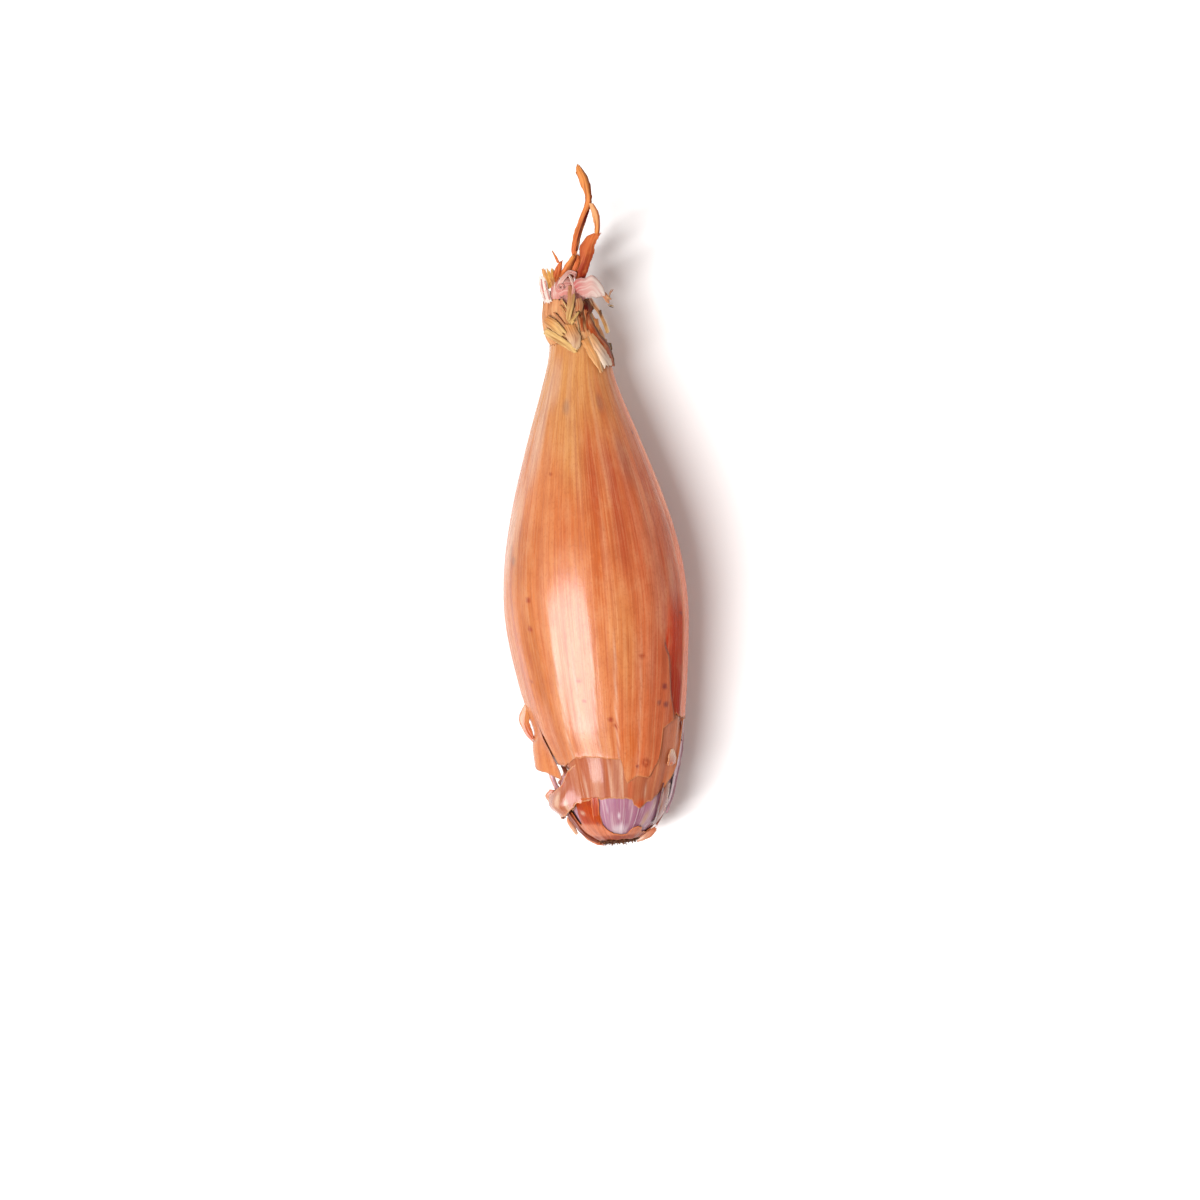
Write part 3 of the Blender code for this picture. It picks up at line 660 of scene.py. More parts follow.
def deep_patch(tint, y, off):
    """The dark orange patch between the crack and a crease, and the pale rim past the crease, a painted
    reflection of the white table.
    """
    soft = 0.8 + 9.0 * ramp(y, -9.0, 0.0)
    inside = smooth((off - crack_angle(y)) / soft) * ramp(off, DEEP_EDGE, DEEP_EDGE - 1.2)
    shade = toward(DEEP, DEEPER, ramp(y, -6.0, -20.0))
    tint = toward(tint, shade, 0.92 * window(y, *DEEP_Y) * inside)
    # Painted reflection: the rim past the crease is made pale, as if it showed the white table in gloss.
    rim = window(off, DEEP_EDGE, DEEP_EDGE + 1.5, 90.0, 110.0) * ramp(y, 26.0, 8.0)
    return toward(tint, RIM_PAINTED_REFLECTION, 0.8 * rim)


def outer_gloss(y, off):
    """Gloss, highest on the flat panel at the left of the middle and least on the deep patch."""
    panel = window(off, *PANEL_ANGLES)
    rim = ramp(off, DEEP_EDGE, DEEP_EDGE + 2.0)
    right = ramp(off, 5.0, 35.0) * (1.0 - rim)
    deep = ramp(y, *DEEP_Y[:2]) * ramp(off, 44.0, 52.0) * (1.0 - rim)
    return 0.55 + 0.45 * panel - 0.25 * right - 0.22 * deep - 0.45 * rim


def flake_lift(y, straight):
    """The flake beyond the slit at the left, where the outer skin stands off the body."""
    loose = (straight < SLIT_ANGLE) * ramp(straight, *FLAKE_BACK)
    flare = ramp(straight, SLIT_ANGLE, SLIT_ANGLE - FLAKE_RISE) * read_curve(FLAKE_LIFT, y)[..., 0]
    return loose * (SLIT_GAP + flare) * ramp(y, *FLAKE_TOP)


def hollow(y, angle):
    """How far the skins and the bulb sink at the lower left, under the loose flake."""
    return HOLLOW * window(y, *HOLLOW_Y) * window(wrap(angle), *HOLLOW_ANGLES)


def crack_angle(y):
    return read_curve(CRACK, y)[..., 0]


def crack_lift(y, angle):
    """The step down at the far side of the crack."""
    beyond = (angle > CRACK_ANGLE) * ramp(angle, CRACK_ANGLE + CRACK_REACH, CRACK_ANGLE)
    return -CRACK_STEP * beyond * ramp(y, *CRACK_STEP_TOP)


def turn_columns(extra=()):
    """Angles round the body, evenly spaced, with a close pair at each extra angle."""
    angles = np.arange(-180.0, 180.0, TURN_STEP)
    for at in extra:
        angles = angles[abs(angles - at) > TURN_STEP * 0.6]
        angles = np.append(angles, (at - 0.12, at + 0.12))
    return np.sort(angles)


def torn_rows(top, start, tear, angles, seed):
    """The y of every grid point, from a top edge down to a torn edge, and the y of that edge."""
    waver = ripple(seed, angles, 0.0, 150, 1.0) + 0.7 * ripple(seed + 1, angles, 0.0, 60, 1.0)
    bottom = read_tear(tear, angles) + TEAR_RAGGED * waver
    fixed = np.arange(top, start, -ROW_STEP)[:, None] + np.zeros_like(angles)
    share = np.linspace(0.0, 1.0, TEAR_ROWS + 1)[:, None]
    return np.concatenate([fixed, start + (bottom - start) * share]), bottom


def follow_breaks(y, straight):
    """Bends the columns of points near the crack and the slit so that they run along them."""
    by_crack = smooth(1.0 - abs(straight - CRACK_ANGLE) / CRACK_REACH) * ramp(y, *CRACK_BEND)
    by_slit = smooth(1.0 - abs(straight - SLIT_ANGLE) / SLIT_REACH) * ramp(y, *SLIT_BEND)
    slit_angle = read_curve(SLIT, y)[..., 0]
    return straight + (crack_angle(y) - CRACK_ANGLE) * by_crack + (slit_angle - SLIT_ANGLE) * by_slit


def make_outer_skin():
    angles = turn_columns((CRACK_ANGLE, SLIT_ANGLE))
    y, bottom = torn_rows(NECK_EDGE, OUTER_PLAIN_END, OUTER_TEAR, angles, 11)
    y[0] += 0.5 * ripple(13, angles, 0.0, 70, 1.0)
    straight = np.broadcast_to(angles, y.shape)
    angle = follow_breaks(y, straight)
    edge = y - bottom
    curl = 0.22 * np.exp(-edge / 0.7) * (0.5 + 0.5 * ripple(15, angle, y, 40, 20.0))
    lift = flake_lift(y, straight) - (straight > SLIT_ANGLE) * hollow(y, angle)
    lift = lift + crack_lift(y, straight) + panel_lift(y, angle) + skin_relief(y, angle, 17) + curl
    # Painted shade: a dark line along the crack and along the slit.
    crack_shade_line = 0.7 * bell(straight, CRACK_ANGLE, 0.5) * ramp(y, *CRACK_SHADE_TOP)
    slit_shade_line = 0.8 * bell(straight, SLIT_ANGLE, 1.2) * ramp(y, *SLIT_SHADE_TOP)
    tint = toward(outer_tint(y, angle), CRACK_SHADE, np.maximum(crack_shade_line, slit_shade_line))
    beside = int(np.searchsorted(angles, SLIT_ANGLE)) - 1
    skip = np.zeros((len(y) - 1, len(angles)), dtype=bool)
    skip[:, beside] = y[:-1, beside] < SLIT_TOP
    stock = Stock()
    add_skin(stock, y, angle, lift, tint, edge, skip=skip, gloss=outer_gloss(y, wrap(angle)))
    skin = papery("copper_skin", colour(244, 188, 138), colour(168, 78, 44), colour(214, 138, 90), 0.24)
    make_piece("outer_skin_paper", stock, skin, "outer_skin", PAPER)


def make_flakes():
    """Loose flakes of the outer skin that hang beside the body."""
    stock = Stock()
    add_blades(stock, FLAKE_BLADES, 443, side_level, cup=0.12)
    make_piece("outer_flakes", stock, bpy.data.materials["copper_skin"], "outer_skin", PAPER)


def lobe_lift(y, off):
    """The flap of the under skin that flares out at the lower left."""
    rise = window(off, LOBE_END, LOBE_END + 34.0, LOBE_START - 32.0, LOBE_START - 8.0)
    return rise * read_curve(FLAP_REACH, y)[..., 0]


# Colours and patches of the under skin and its flap, some of them painted light and highlights. SHINE is
# the band of it that is glossiest, and CURL_ANGLES are where its torn edge curls up most.
SHINE_ANGLES = (-27.0, -25.0, -15.0, -13.0)
SHINE_Y = (-37.5, -35.5)
CURL_ANGLES = (48.0, 56.0, 80.0, 88.0)
TAN = colour(185, 98, 62)
TAN_ROSE = colour(182, 100, 74)
TAN_DEEP = colour(198, 76, 30)
TAN_DARK = colour(168, 92, 68)
# Painted light: a brighter tan that lights up the right part of the under skin.
TAN_PAINTED_LIGHT = colour(240, 140, 98)
FOLD = colour(206, 112, 66)
UNDER_PATCHES = (
    (-36.5, -13.0, 5.5, 1.8, TAN_DARK, 0.75), (-36.5, -7.0, 5.5, 1.4, PALE, 0.6),
    (-37.0, -1.0, 5.5, 3.0, TAN_DARK, 0.6), (-38.0, 4.6, 4.0, 1.0, PALE, 0.6),
    (-38.5, 12.0, 3.5, 3.0, COPPER, 0.5), (-42.4, 23.0, 1.4, 7.5, TAN_DEEP, 0.95),
    # On the next line, the patch at angle -34 is a painted highlight.
    (-39.4, 28.0, 2.0, 1.0, PALE, 0.5), (-38.5, -34.0, 4.0, 2.0, PALE, 0.5),
    (-37.0, -45.0, 3.0, 3.0, COPPER, 0.5), (-36.0, 44.0, 5.0, 3.0, TAN_DARK, 0.4),
    (-32.0, 52.0, 6.0, 2.0, COPPER, 0.5), (-36.4, 60.0, 2.5, 3.0, FOLD, 0.9),
    (-33.6, 66.0, 2.5, 3.0, FOLD, 0.9), (-38.6, 52.0, 1.6, 3.5, FOLD, 0.7),
    # On the next two lines, the tan patches at angles 58 and 40 are painted light on the right part.
    (-30.0, 66.0, 3.0, 4.0, COPPER, 0.6), (-30.0, 58.0, 7.0, 13.0, TAN_PAINTED_LIGHT, 0.7),
    (-37.0, 40.0, 4.0, 9.0, TAN_PAINTED_LIGHT, 0.5),
)
LOBE_PATCHES = (
    # On the next line, the two pale patches are painted highlights on the flap.
    (-39.5, -66.0, 1.6, 3.0, PALE, 0.9), (-41.0, -58.0, 1.6, 2.0, PALE, 0.7),
    (-41.5, -78.0, 2.0, 5.0, COPPER, 0.6), (-44.6, -78.0, 1.6, 16.0, DEEP, 0.9),
    (-34.2, -52.0, 0.9, 5.0, RUST, 0.8), (-36.6, -62.0, 0.7, 5.0, RUST, 0.85),
    (-37.9, -76.0, 0.6, 8.0, RUST, 0.6),
)


def under_tint(y, angle, patches):
    streak = ripple(41, meridian(y, angle), y, 60, 40.0)
    tint = toward(TAN, TAN_ROSE, 0.8 * np.clip(streak, 0.0, 1.0))
    tint = toward(tint, PALE, 0.4 * np.clip(-streak, 0.0, 1.0))
    return paint(tint, y, angle, patches)


def under_gloss(y, angle):
    """The under skin is glossiest where it comes out below the shiny band of the outer skin."""
    return 0.2 + 1.4 * window(angle, *SHINE_ANGLES) * ramp(y, *SHINE_Y)


def make_under_skin():
    angles = turn_columns()
    y, bottom = torn_rows(UNDER_TOP, UNDER_PLAIN_END, UNDER_TEAR, angles, 43)
    angle = np.broadcast_to(angles, y.shape)
    edge = y - bottom
    side = window(angle, *CURL_ANGLES)
    curl = (0.2 + 0.7 * side) * np.exp(-edge / (0.6 + 0.6 * side))
    curl = curl * (0.6 + 0.4 * ripple(45, angle, y, 40, 20.0))
    lift = panel_lift(y, angle) + skin_relief(y, angle, 47) + curl - UNDER_DEPTH - hollow(y, angle)
    stock = Stock()
    tint = under_tint(y, angle, UNDER_PATCHES)
    add_skin(stock, y, angle, lift, tint, edge, gloss=under_gloss(y, angle))
    add_lobe(stock)
    add_blades(stock, UNDER_BLADES, 143, side_level, cup=0.3)
    add_blades(stock, RIM_BLADES, 243, body_level)
    skin = papery("tan_skin", colour(232, 170, 126), colour(168, 90, 62), colour(236, 166, 112), 0.24)
    make_piece("under_skin_paper", stock, skin, "under_skin", PAPER)


def add_lobe(stock):
    """The flared flap at the lower left, from its torn upper edge down to the torn lower one."""
    angles = np.arange(LOBE_END, LOBE_START + 0.1, 1.0)
    top = read_curve(LOBE_TOP, angles)[..., 0] + 0.2 * ripple(47, angles, 0.0, 110, 1.0)
    bottom = read_tear(UNDER_TEAR, angles) - 0.1 + 0.25 * ripple(49, angles, 0.0, 130, 1.0)
    share = np.linspace(0.0, 1.0, 31)[:, None]
    y = top + (bottom - top) * share
    off = np.broadcast_to(angles, y.shape)
    edge = np.minimum(top - y, y - bottom)
    free = ramp(off, LOBE_START, LOBE_START - 12.0)
    wave = 0.25 + 0.25 * ripple(147, off, y, 40, 3.0) + 0.3 * np.exp(-edge / 0.5)
    lift = lobe_lift(y, off) + free * (wave + 0.1) + skin_relief(y, off, 47) - UNDER_DEPTH - LOBE_GAP
    add_skin(stock, y, off, lift, under_tint(y, off, LOBE_PATCHES), edge, closed=False)


# Loose pieces at the lower left and at the right edge, as torn blades like those of the neck.
PURPLE = colour(176, 118, 138)
LILAC = colour(196, 144, 160)
PEACH = colour(240, 196, 166)
MAROON = colour(122, 38, 40)
SCALE_PINK = colour(214, 156, 166)
BEIGE = colour(168, 94, 56)
FLAKE_BLADES = {
    "upper_flake": (GOLDEN, COPPER, (
        (-16.0, -19.0, -16.9, -19.3, 0.3), (-16.0, -21.3, -18.0, -21.2, 0.2),
        (-16.35, -22.9, -18.4, -22.7, 0.1), (-16.1, -24.1, -18.2, -24.0, 0.0),
        (-15.8, -25.5, -17.2, -25.9, 0.0), (-15.4, -27.0, -15.9, -27.4, 0.0))),
}
UNDER_BLADES = {
    # The rim of the hole; its maroon lower end is painted shade on its underside.
    "hole_rim": (RUST, MAROON, (
        (-9.4, -32.9, -10.2, -33.0, 1.2), (-8.9, -34.6, -9.8, -34.8, 0.6),
        (-8.6, -36.2, -10.7, -36.0, 0.0), (-8.8, -37.6, -11.3, -37.2, -0.6))),
    "low_strip": (COPPER, PEACH, (
        (-9.2, -44.0, -9.8, -44.2, -1.0), (-8.9, -45.2, -9.7, -45.5, -1.4),
        (-8.2, -46.6, -8.9, -47.0, -1.8), (-7.8, -47.8, -8.2, -48.1, -2.2))),
    "sliver": (SCALE_PINK, LILAC, (
        (-12.0, -33.6, -13.1, -33.8, -1.6), (-11.6, -36.3, -12.5, -36.2, -2.0),
        (-10.7, -38.3, -11.8, -38.3, -2.4), (-9.6, -40.4, -11.2, -40.6, -2.6))),
    "curl": (COPPER, PEACH, (
        (-11.6, -38.3, -12.9, -38.0, -1.2), (-12.2, -39.5, -14.0, -39.2, -1.8),
        (-12.4, -40.2, -13.6, -40.2, -2.4), (-12.8, -40.7, -13.0, -40.8, -3.0))),
}
RIM_BLADES = {
    "tongue": (PALE, COPPER, (
        (14.0, -31.3, 13.4, -31.5, 0.3), (14.5, -32.9, 13.0, -32.7, 0.6), (14.4, -34.5, 12.7, -33.9, 0.8),
        (13.3, -34.9, 12.7, -34.7, 0.5))),
    # Painted shade: a dark strip where the right rim meets the body.
    "rim_shadow_line": (MAROON, MAROON, (
        (16.5, -25.6, 16.1, -25.6, 0.2), (16.3, -27.6, 15.95, -27.6, 0.3),
        (16.0, -29.6, 15.7, -29.6, 0.2))),
}
SCALE_BLADES = {
    "lilac": (SCALE_PINK, LILAC, (
        (16.9, -25.2, 16.5, -25.2, 0.0), (16.4, -29.7, 15.4, -29.6, 0.1), (15.8, -33.0, 14.7, -32.8, 0.3),
        (14.7, -36.9, 13.8, -36.8, 0.4), (13.5, -41.1, 12.7, -41.0, 0.4), (11.8, -44.9, 11.3, -44.7, 0.3))),
    "beige": (BEIGE, BEIGE, (
        (12.9, -38.6, 12.0, -38.4, 0.3), (12.5, -40.6, 11.2, -40.4, 0.4), (12.0, -42.6, 10.6, -42.2, 0.4),
        (11.0, -44.9, 9.9, -44.7, 0.3), (9.2, -47.6, 8.6, -47.2, 0.2))),
    # Painted shade: a dark strip along the left edge of the beige scale.
    "scale_shadow_edge": (CRACK_SHADE, CRACK_SHADE, (
        (11.9, -38.5, 11.2, -38.5, 0.2), (11.1, -40.8, 10.5, -40.8, 0.3), (10.4, -43.2, 9.8, -43.2, 0.3),
        (9.7, -45.4, 9.2, -45.4, 0.3), (8.6, -47.4, 8.2, -47.2, 0.2))),
}


def side_level(x, y):
    """The height of loose pieces that hang beside the body."""
    return np.full_like(x, AXIS_HEIGHT)


def body_level(x, y):
    """The height of the body surface at a place seen from above."""
    here = read_curve(BODY, y)
    out = np.clip(1.0 - ((x - here[..., 0]) / (here[..., 1] - UNDER_DEPTH)) ** 2, 0.0, 1.0)
    return AXIS_HEIGHT + here[..., 1] * np.sqrt(out)


# The base skin ends at the root plate. It is orange at the left as far as EMBER_Y.
BASE_END = -49.95
EMBER_ANGLES = (-140.0, -130.0, -24.0, -20.0)
EMBER_Y = (-46.4, -45.6)
EMBER = colour(186, 62, 8)
UMBER = colour(150, 52, 22)
# Painted shade for the gap at the lower left of the base.
GAP_SHADOW_BROWN = colour(104, 38, 18)
BAND = colour(226, 134, 98)
BASE_BLADES = {
    "straight_edge": (EMBER, EMBER, (
        (-2.7, -40.5, -4.4, -40.5, -0.42), (-2.75, -42.5, -4.4, -42.5, -0.40),
        (-2.85, -45.0, -4.2, -45.2, -0.38), (-2.85, -46.2, -3.9, -47.0, -0.38))),
}
BASE_SIDE_BLADES = {
    # Painted shade: a dark brown strip that fills the gap between the base skin and the strip outside it at
    # the lower left.
    "gap_shadow": (GAP_SHADOW_BROWN, GAP_SHADOW_BROWN, (
        (-9.2, -42.9, -10.0, -43.5, 0.4), (-7.9, -44.9, -8.8, -45.5, 0.3), (-6.6, -46.8, -7.4, -47.5, 0.2),
        (-4.9, -48.6, -5.4, -49.3, 0.1), (-3.3, -49.7, -3.6, -50.3, 0.0))),
    "outer": (PEACH, COPPER, (
        (-6.6, -47.6, -7.0, -48.0, -1.2), (-5.2, -48.9, -5.7, -49.4, -1.4),
        (-3.6, -49.9, -4.0, -50.5, -1.5), (-2.4, -50.4, -2.6, -50.9, -1.6))),
    "tab": (PEACH, BAND, (
        (4.9, -49.7, 4.7, -50.7, 0.5), (6.2, -49.1, 6.4, -50.3, 0.8), (7.6, -48.2, 7.9, -49.6, 0.6),
        (8.7, -47.9, 8.9, -48.6, 0.3))),
}
BASE_PATCHES = (
    (-43.4, -48.0, 0.5, 4.0, PEACH, 0.8), (-45.9, -30.0, 0.5, 3.0, BRUISE, 0.8),
    (-49.4, 0.0, 0.7, 60.0, UMBER, 0.9), (-49.4, -70.0, 0.7, 30.0, UMBER, 0.9),
    (-49.4, 70.0, 0.7, 30.0, UMBER, 0.9), (-47.9, 24.0, 0.5, 8.0, BAND, 0.6),
)


def make_base_skin():
    angles = turn_columns()
    top = read_tear(BASE_TEAR, angles) + 0.12 * ripple(51, angles, 0.0, 120, 1.0)
    share = np.linspace(0.0, 1.0, 25)[:, None]
    y = top + (BASE_END - top) * share
    angle = np.broadcast_to(angles, y.shape)
    edge = top - y
    wrinkle = 0.12 * ripple(53, angle, y, 50, 3.0) + 0.12 * ripple(55, angle, y, 22, 5.0)
    lift = -BASE_DEPTH + wrinkle + 0.05 * np.exp(-edge / 0.6) - hollow(y, angle)
    left = window(angle, *EMBER_ANGLES) * ramp(y, *EMBER_Y)
    dark = np.clip(ripple(57, angle, y, 50, 1.6) - 0.1, 0.0, 1.0)
    tint = toward(toward(BAND, EMBER, left), UMBER, 0.8 * dark)
    tint = paint(tint, y, angle, BASE_PATCHES)
    stock = Stock()
    add_skin(stock, y, angle, lift, tint, edge, gloss=0.3)
    add_blades(stock, BASE_BLADES, 643, body_level, cup=0.0)
    add_blades(stock, BASE_SIDE_BLADES, 743, side_level, cup=0.2)
    skin = papery("ember_skin", colour(228, 122, 60), colour(130, 48, 24), colour(226, 130, 72), 0.28)
    make_piece("base_skin_paper", stock, skin, "base_skin", PAPER)


# The bulb: its two ends, where its rows of points get closer, and where the skins leave it bare.
BULB_TOP = 50.0
BULB_CLOSE = -20.0
BULB_END = -50.2
BARE_Y = (-8.0, -13.0)
MILK = colour(238, 222, 226)
VIOLET = colour(158, 88, 118)
SAP = colour(200, 154, 126)
FLESH_PATCHES = (
    (-48.0, 1.0, 1.5, 14.0, MILK, 0.55), (-44.6, 0.0, 0.8, 1.6, MILK, 0.9),
    (-47.2, 4.0, 1.3, 1.5, MILK, 0.9), (-43.0, -14.0, 1.2, 1.0, MILK, 0.5),
    (-44.4, 27.0, 3.2, 7.0, VIOLET, 0.8), (-46.0, 40.0, 2.0, 5.0, SAP, 0.9),
    (-43.0, 46.0, 2.0, 3.0, SAP, 0.6), (-37.6, 66.0, 1.6, 5.0, MAROON, 0.9),
    (-31.0, 62.0, 1.6, 5.0, BRUISE, 0.8), (-34.0, 70.0, 6.0, 6.0, LILAC, 0.6),
)


def make_bulb():
    rows = np.arange(BULB_TOP, BULB_CLOSE, -1.5), np.arange(BULB_CLOSE, BULB_END, -0.4), [BULB_END]
    angle, y = np.broadcast_arrays(turn_columns(), np.concatenate(rows)[:, None])
    vein = meridian(y, angle)
    lift = -COVERED_DEPTH + (COVERED_DEPTH - FLESH_DEPTH) * ramp(y, *BARE_Y)
    lift = lift + 0.05 * ripple(61, vein, y, 48, 12.0) + panel_lift(y, angle) - hollow(y, angle)
    tint = toward(PURPLE, LILAC, np.clip(ripple(63, vein, y, 40, 14.0), 0.0, 1.0))
    tint = paint(tint, y, angle, FLESH_PATCHES)
    points = body_point(y, angle, lift)
    stock = Stock()
    number = stock.add_grid(points, place_layer(y, angle), tint, NO_EDGE, closed=True)
    stock.add_cap(number[0], points[0], PURPLE)
    stock.add_cap(number[-1], points[-1], PURPLE, turned=True)
    add_blades(stock, SCALE_BLADES, 343, body_level)
    make_piece("bulb_flesh", stock, fleshy("purple_flesh"), "bulb")


# The dried neck: nested tubes as y, radius, round a middle that shifts sideways, each with its torn
# upper edge as angle, y. Above the collar, from TUBE_FREE on, they are pleated.
TUBE_FREE = (57.0, 61.0)
NECK_SHIFT = (
    (50.0, 0.4), (54.0, 0.6), (56.2, 0.7), (58.3, 0.0), (61.0, -0.8), (63.5, -1.4), (66.0, -1.3),
    (70.0, -1.0),
)
SHEATH_RADII = ((50.8, 4.9), (54.0, 5.1), (56.2, 5.7), (58.3, 6.2), (61.0, 5.9), (63.5, 5.3), (66.0, 5.0))
SHEATH_TEAR = (
    (-170, 65.8), (-150, 64.6), (-130, 66.4), (-112, 65.2), (-95, 66.6), (-78, 65.9), (-60, 66.5),
    (-42, 67.4), (-25, 66.4), (-8, 66.0), (10, 64.4), (25, 64.9), (40, 63.2), (55, 64.2),
    (72, 62.6), (90, 64.4), (108, 63.5), (125, 65.4), (145, 64.2), (165, 65.9),
)
PINK_RADII = ((51.6, 3.7), (56.0, 3.8), (60.0, 4.1), (64.0, 4.3), (68.0, 3.9))
PINK_TEAR = (
    (-165, 67.0), (-135, 68.2), (-105, 67.2), (-75, 68.6), (-45, 68.9), (-15, 69.2), (12, 69.6),
    (40, 69.0), (70, 67.0), (100, 66.4), (130, 67.6), (160, 66.2),
)
PLUG_RADII = ((51.9, 0.2), (52.0, 2.6), (58.0, 2.9), (64.0, 3.1), (67.6, 2.8), (69.4, 1.8), (69.9, 0.3))
PLUG_TEAR = ((-180, 69.8), (0, 69.8))
TUBE_ROWS = 44

STRAW = colour(241, 196, 122)
HONEY = colour(238, 170, 110)
TOFFEE = colour(230, 154, 104)
PETAL_WHITE = colour(254, 240, 228)
ROSE_RED = colour(192, 80, 78)
GREENISH = colour(208, 160, 96)
CREAM = colour(250, 230, 210)
SHELL = colour(240, 206, 170)
AMBER = colour(222, 148, 84)
# Painted light: the bright orange of thin skin with light shining through it.
AMBER_GLOW = colour(236, 140, 60)
DUSK = colour(190, 122, 88)
UMBER_RED = colour(184, 80, 36)
BARK = colour(66, 34, 22)
# Painted shadow of the hollow at the top of the neck.
PIT_SHADOW = colour(30, 16, 10)
PINK = colour(217, 136, 126)
BLUSH = colour(246, 214, 198)
CRIMSON = colour(206, 108, 104)
LEAF = colour(230, 120, 68)
LEAF_TIP = colour(244, 156, 84)
LEAF_PALE = colour(250, 188, 134)
LEAF_SHADE = colour(88, 20, 14)
LEAF_DARK = colour(150, 42, 24)
GOLD = colour(228, 168, 78)

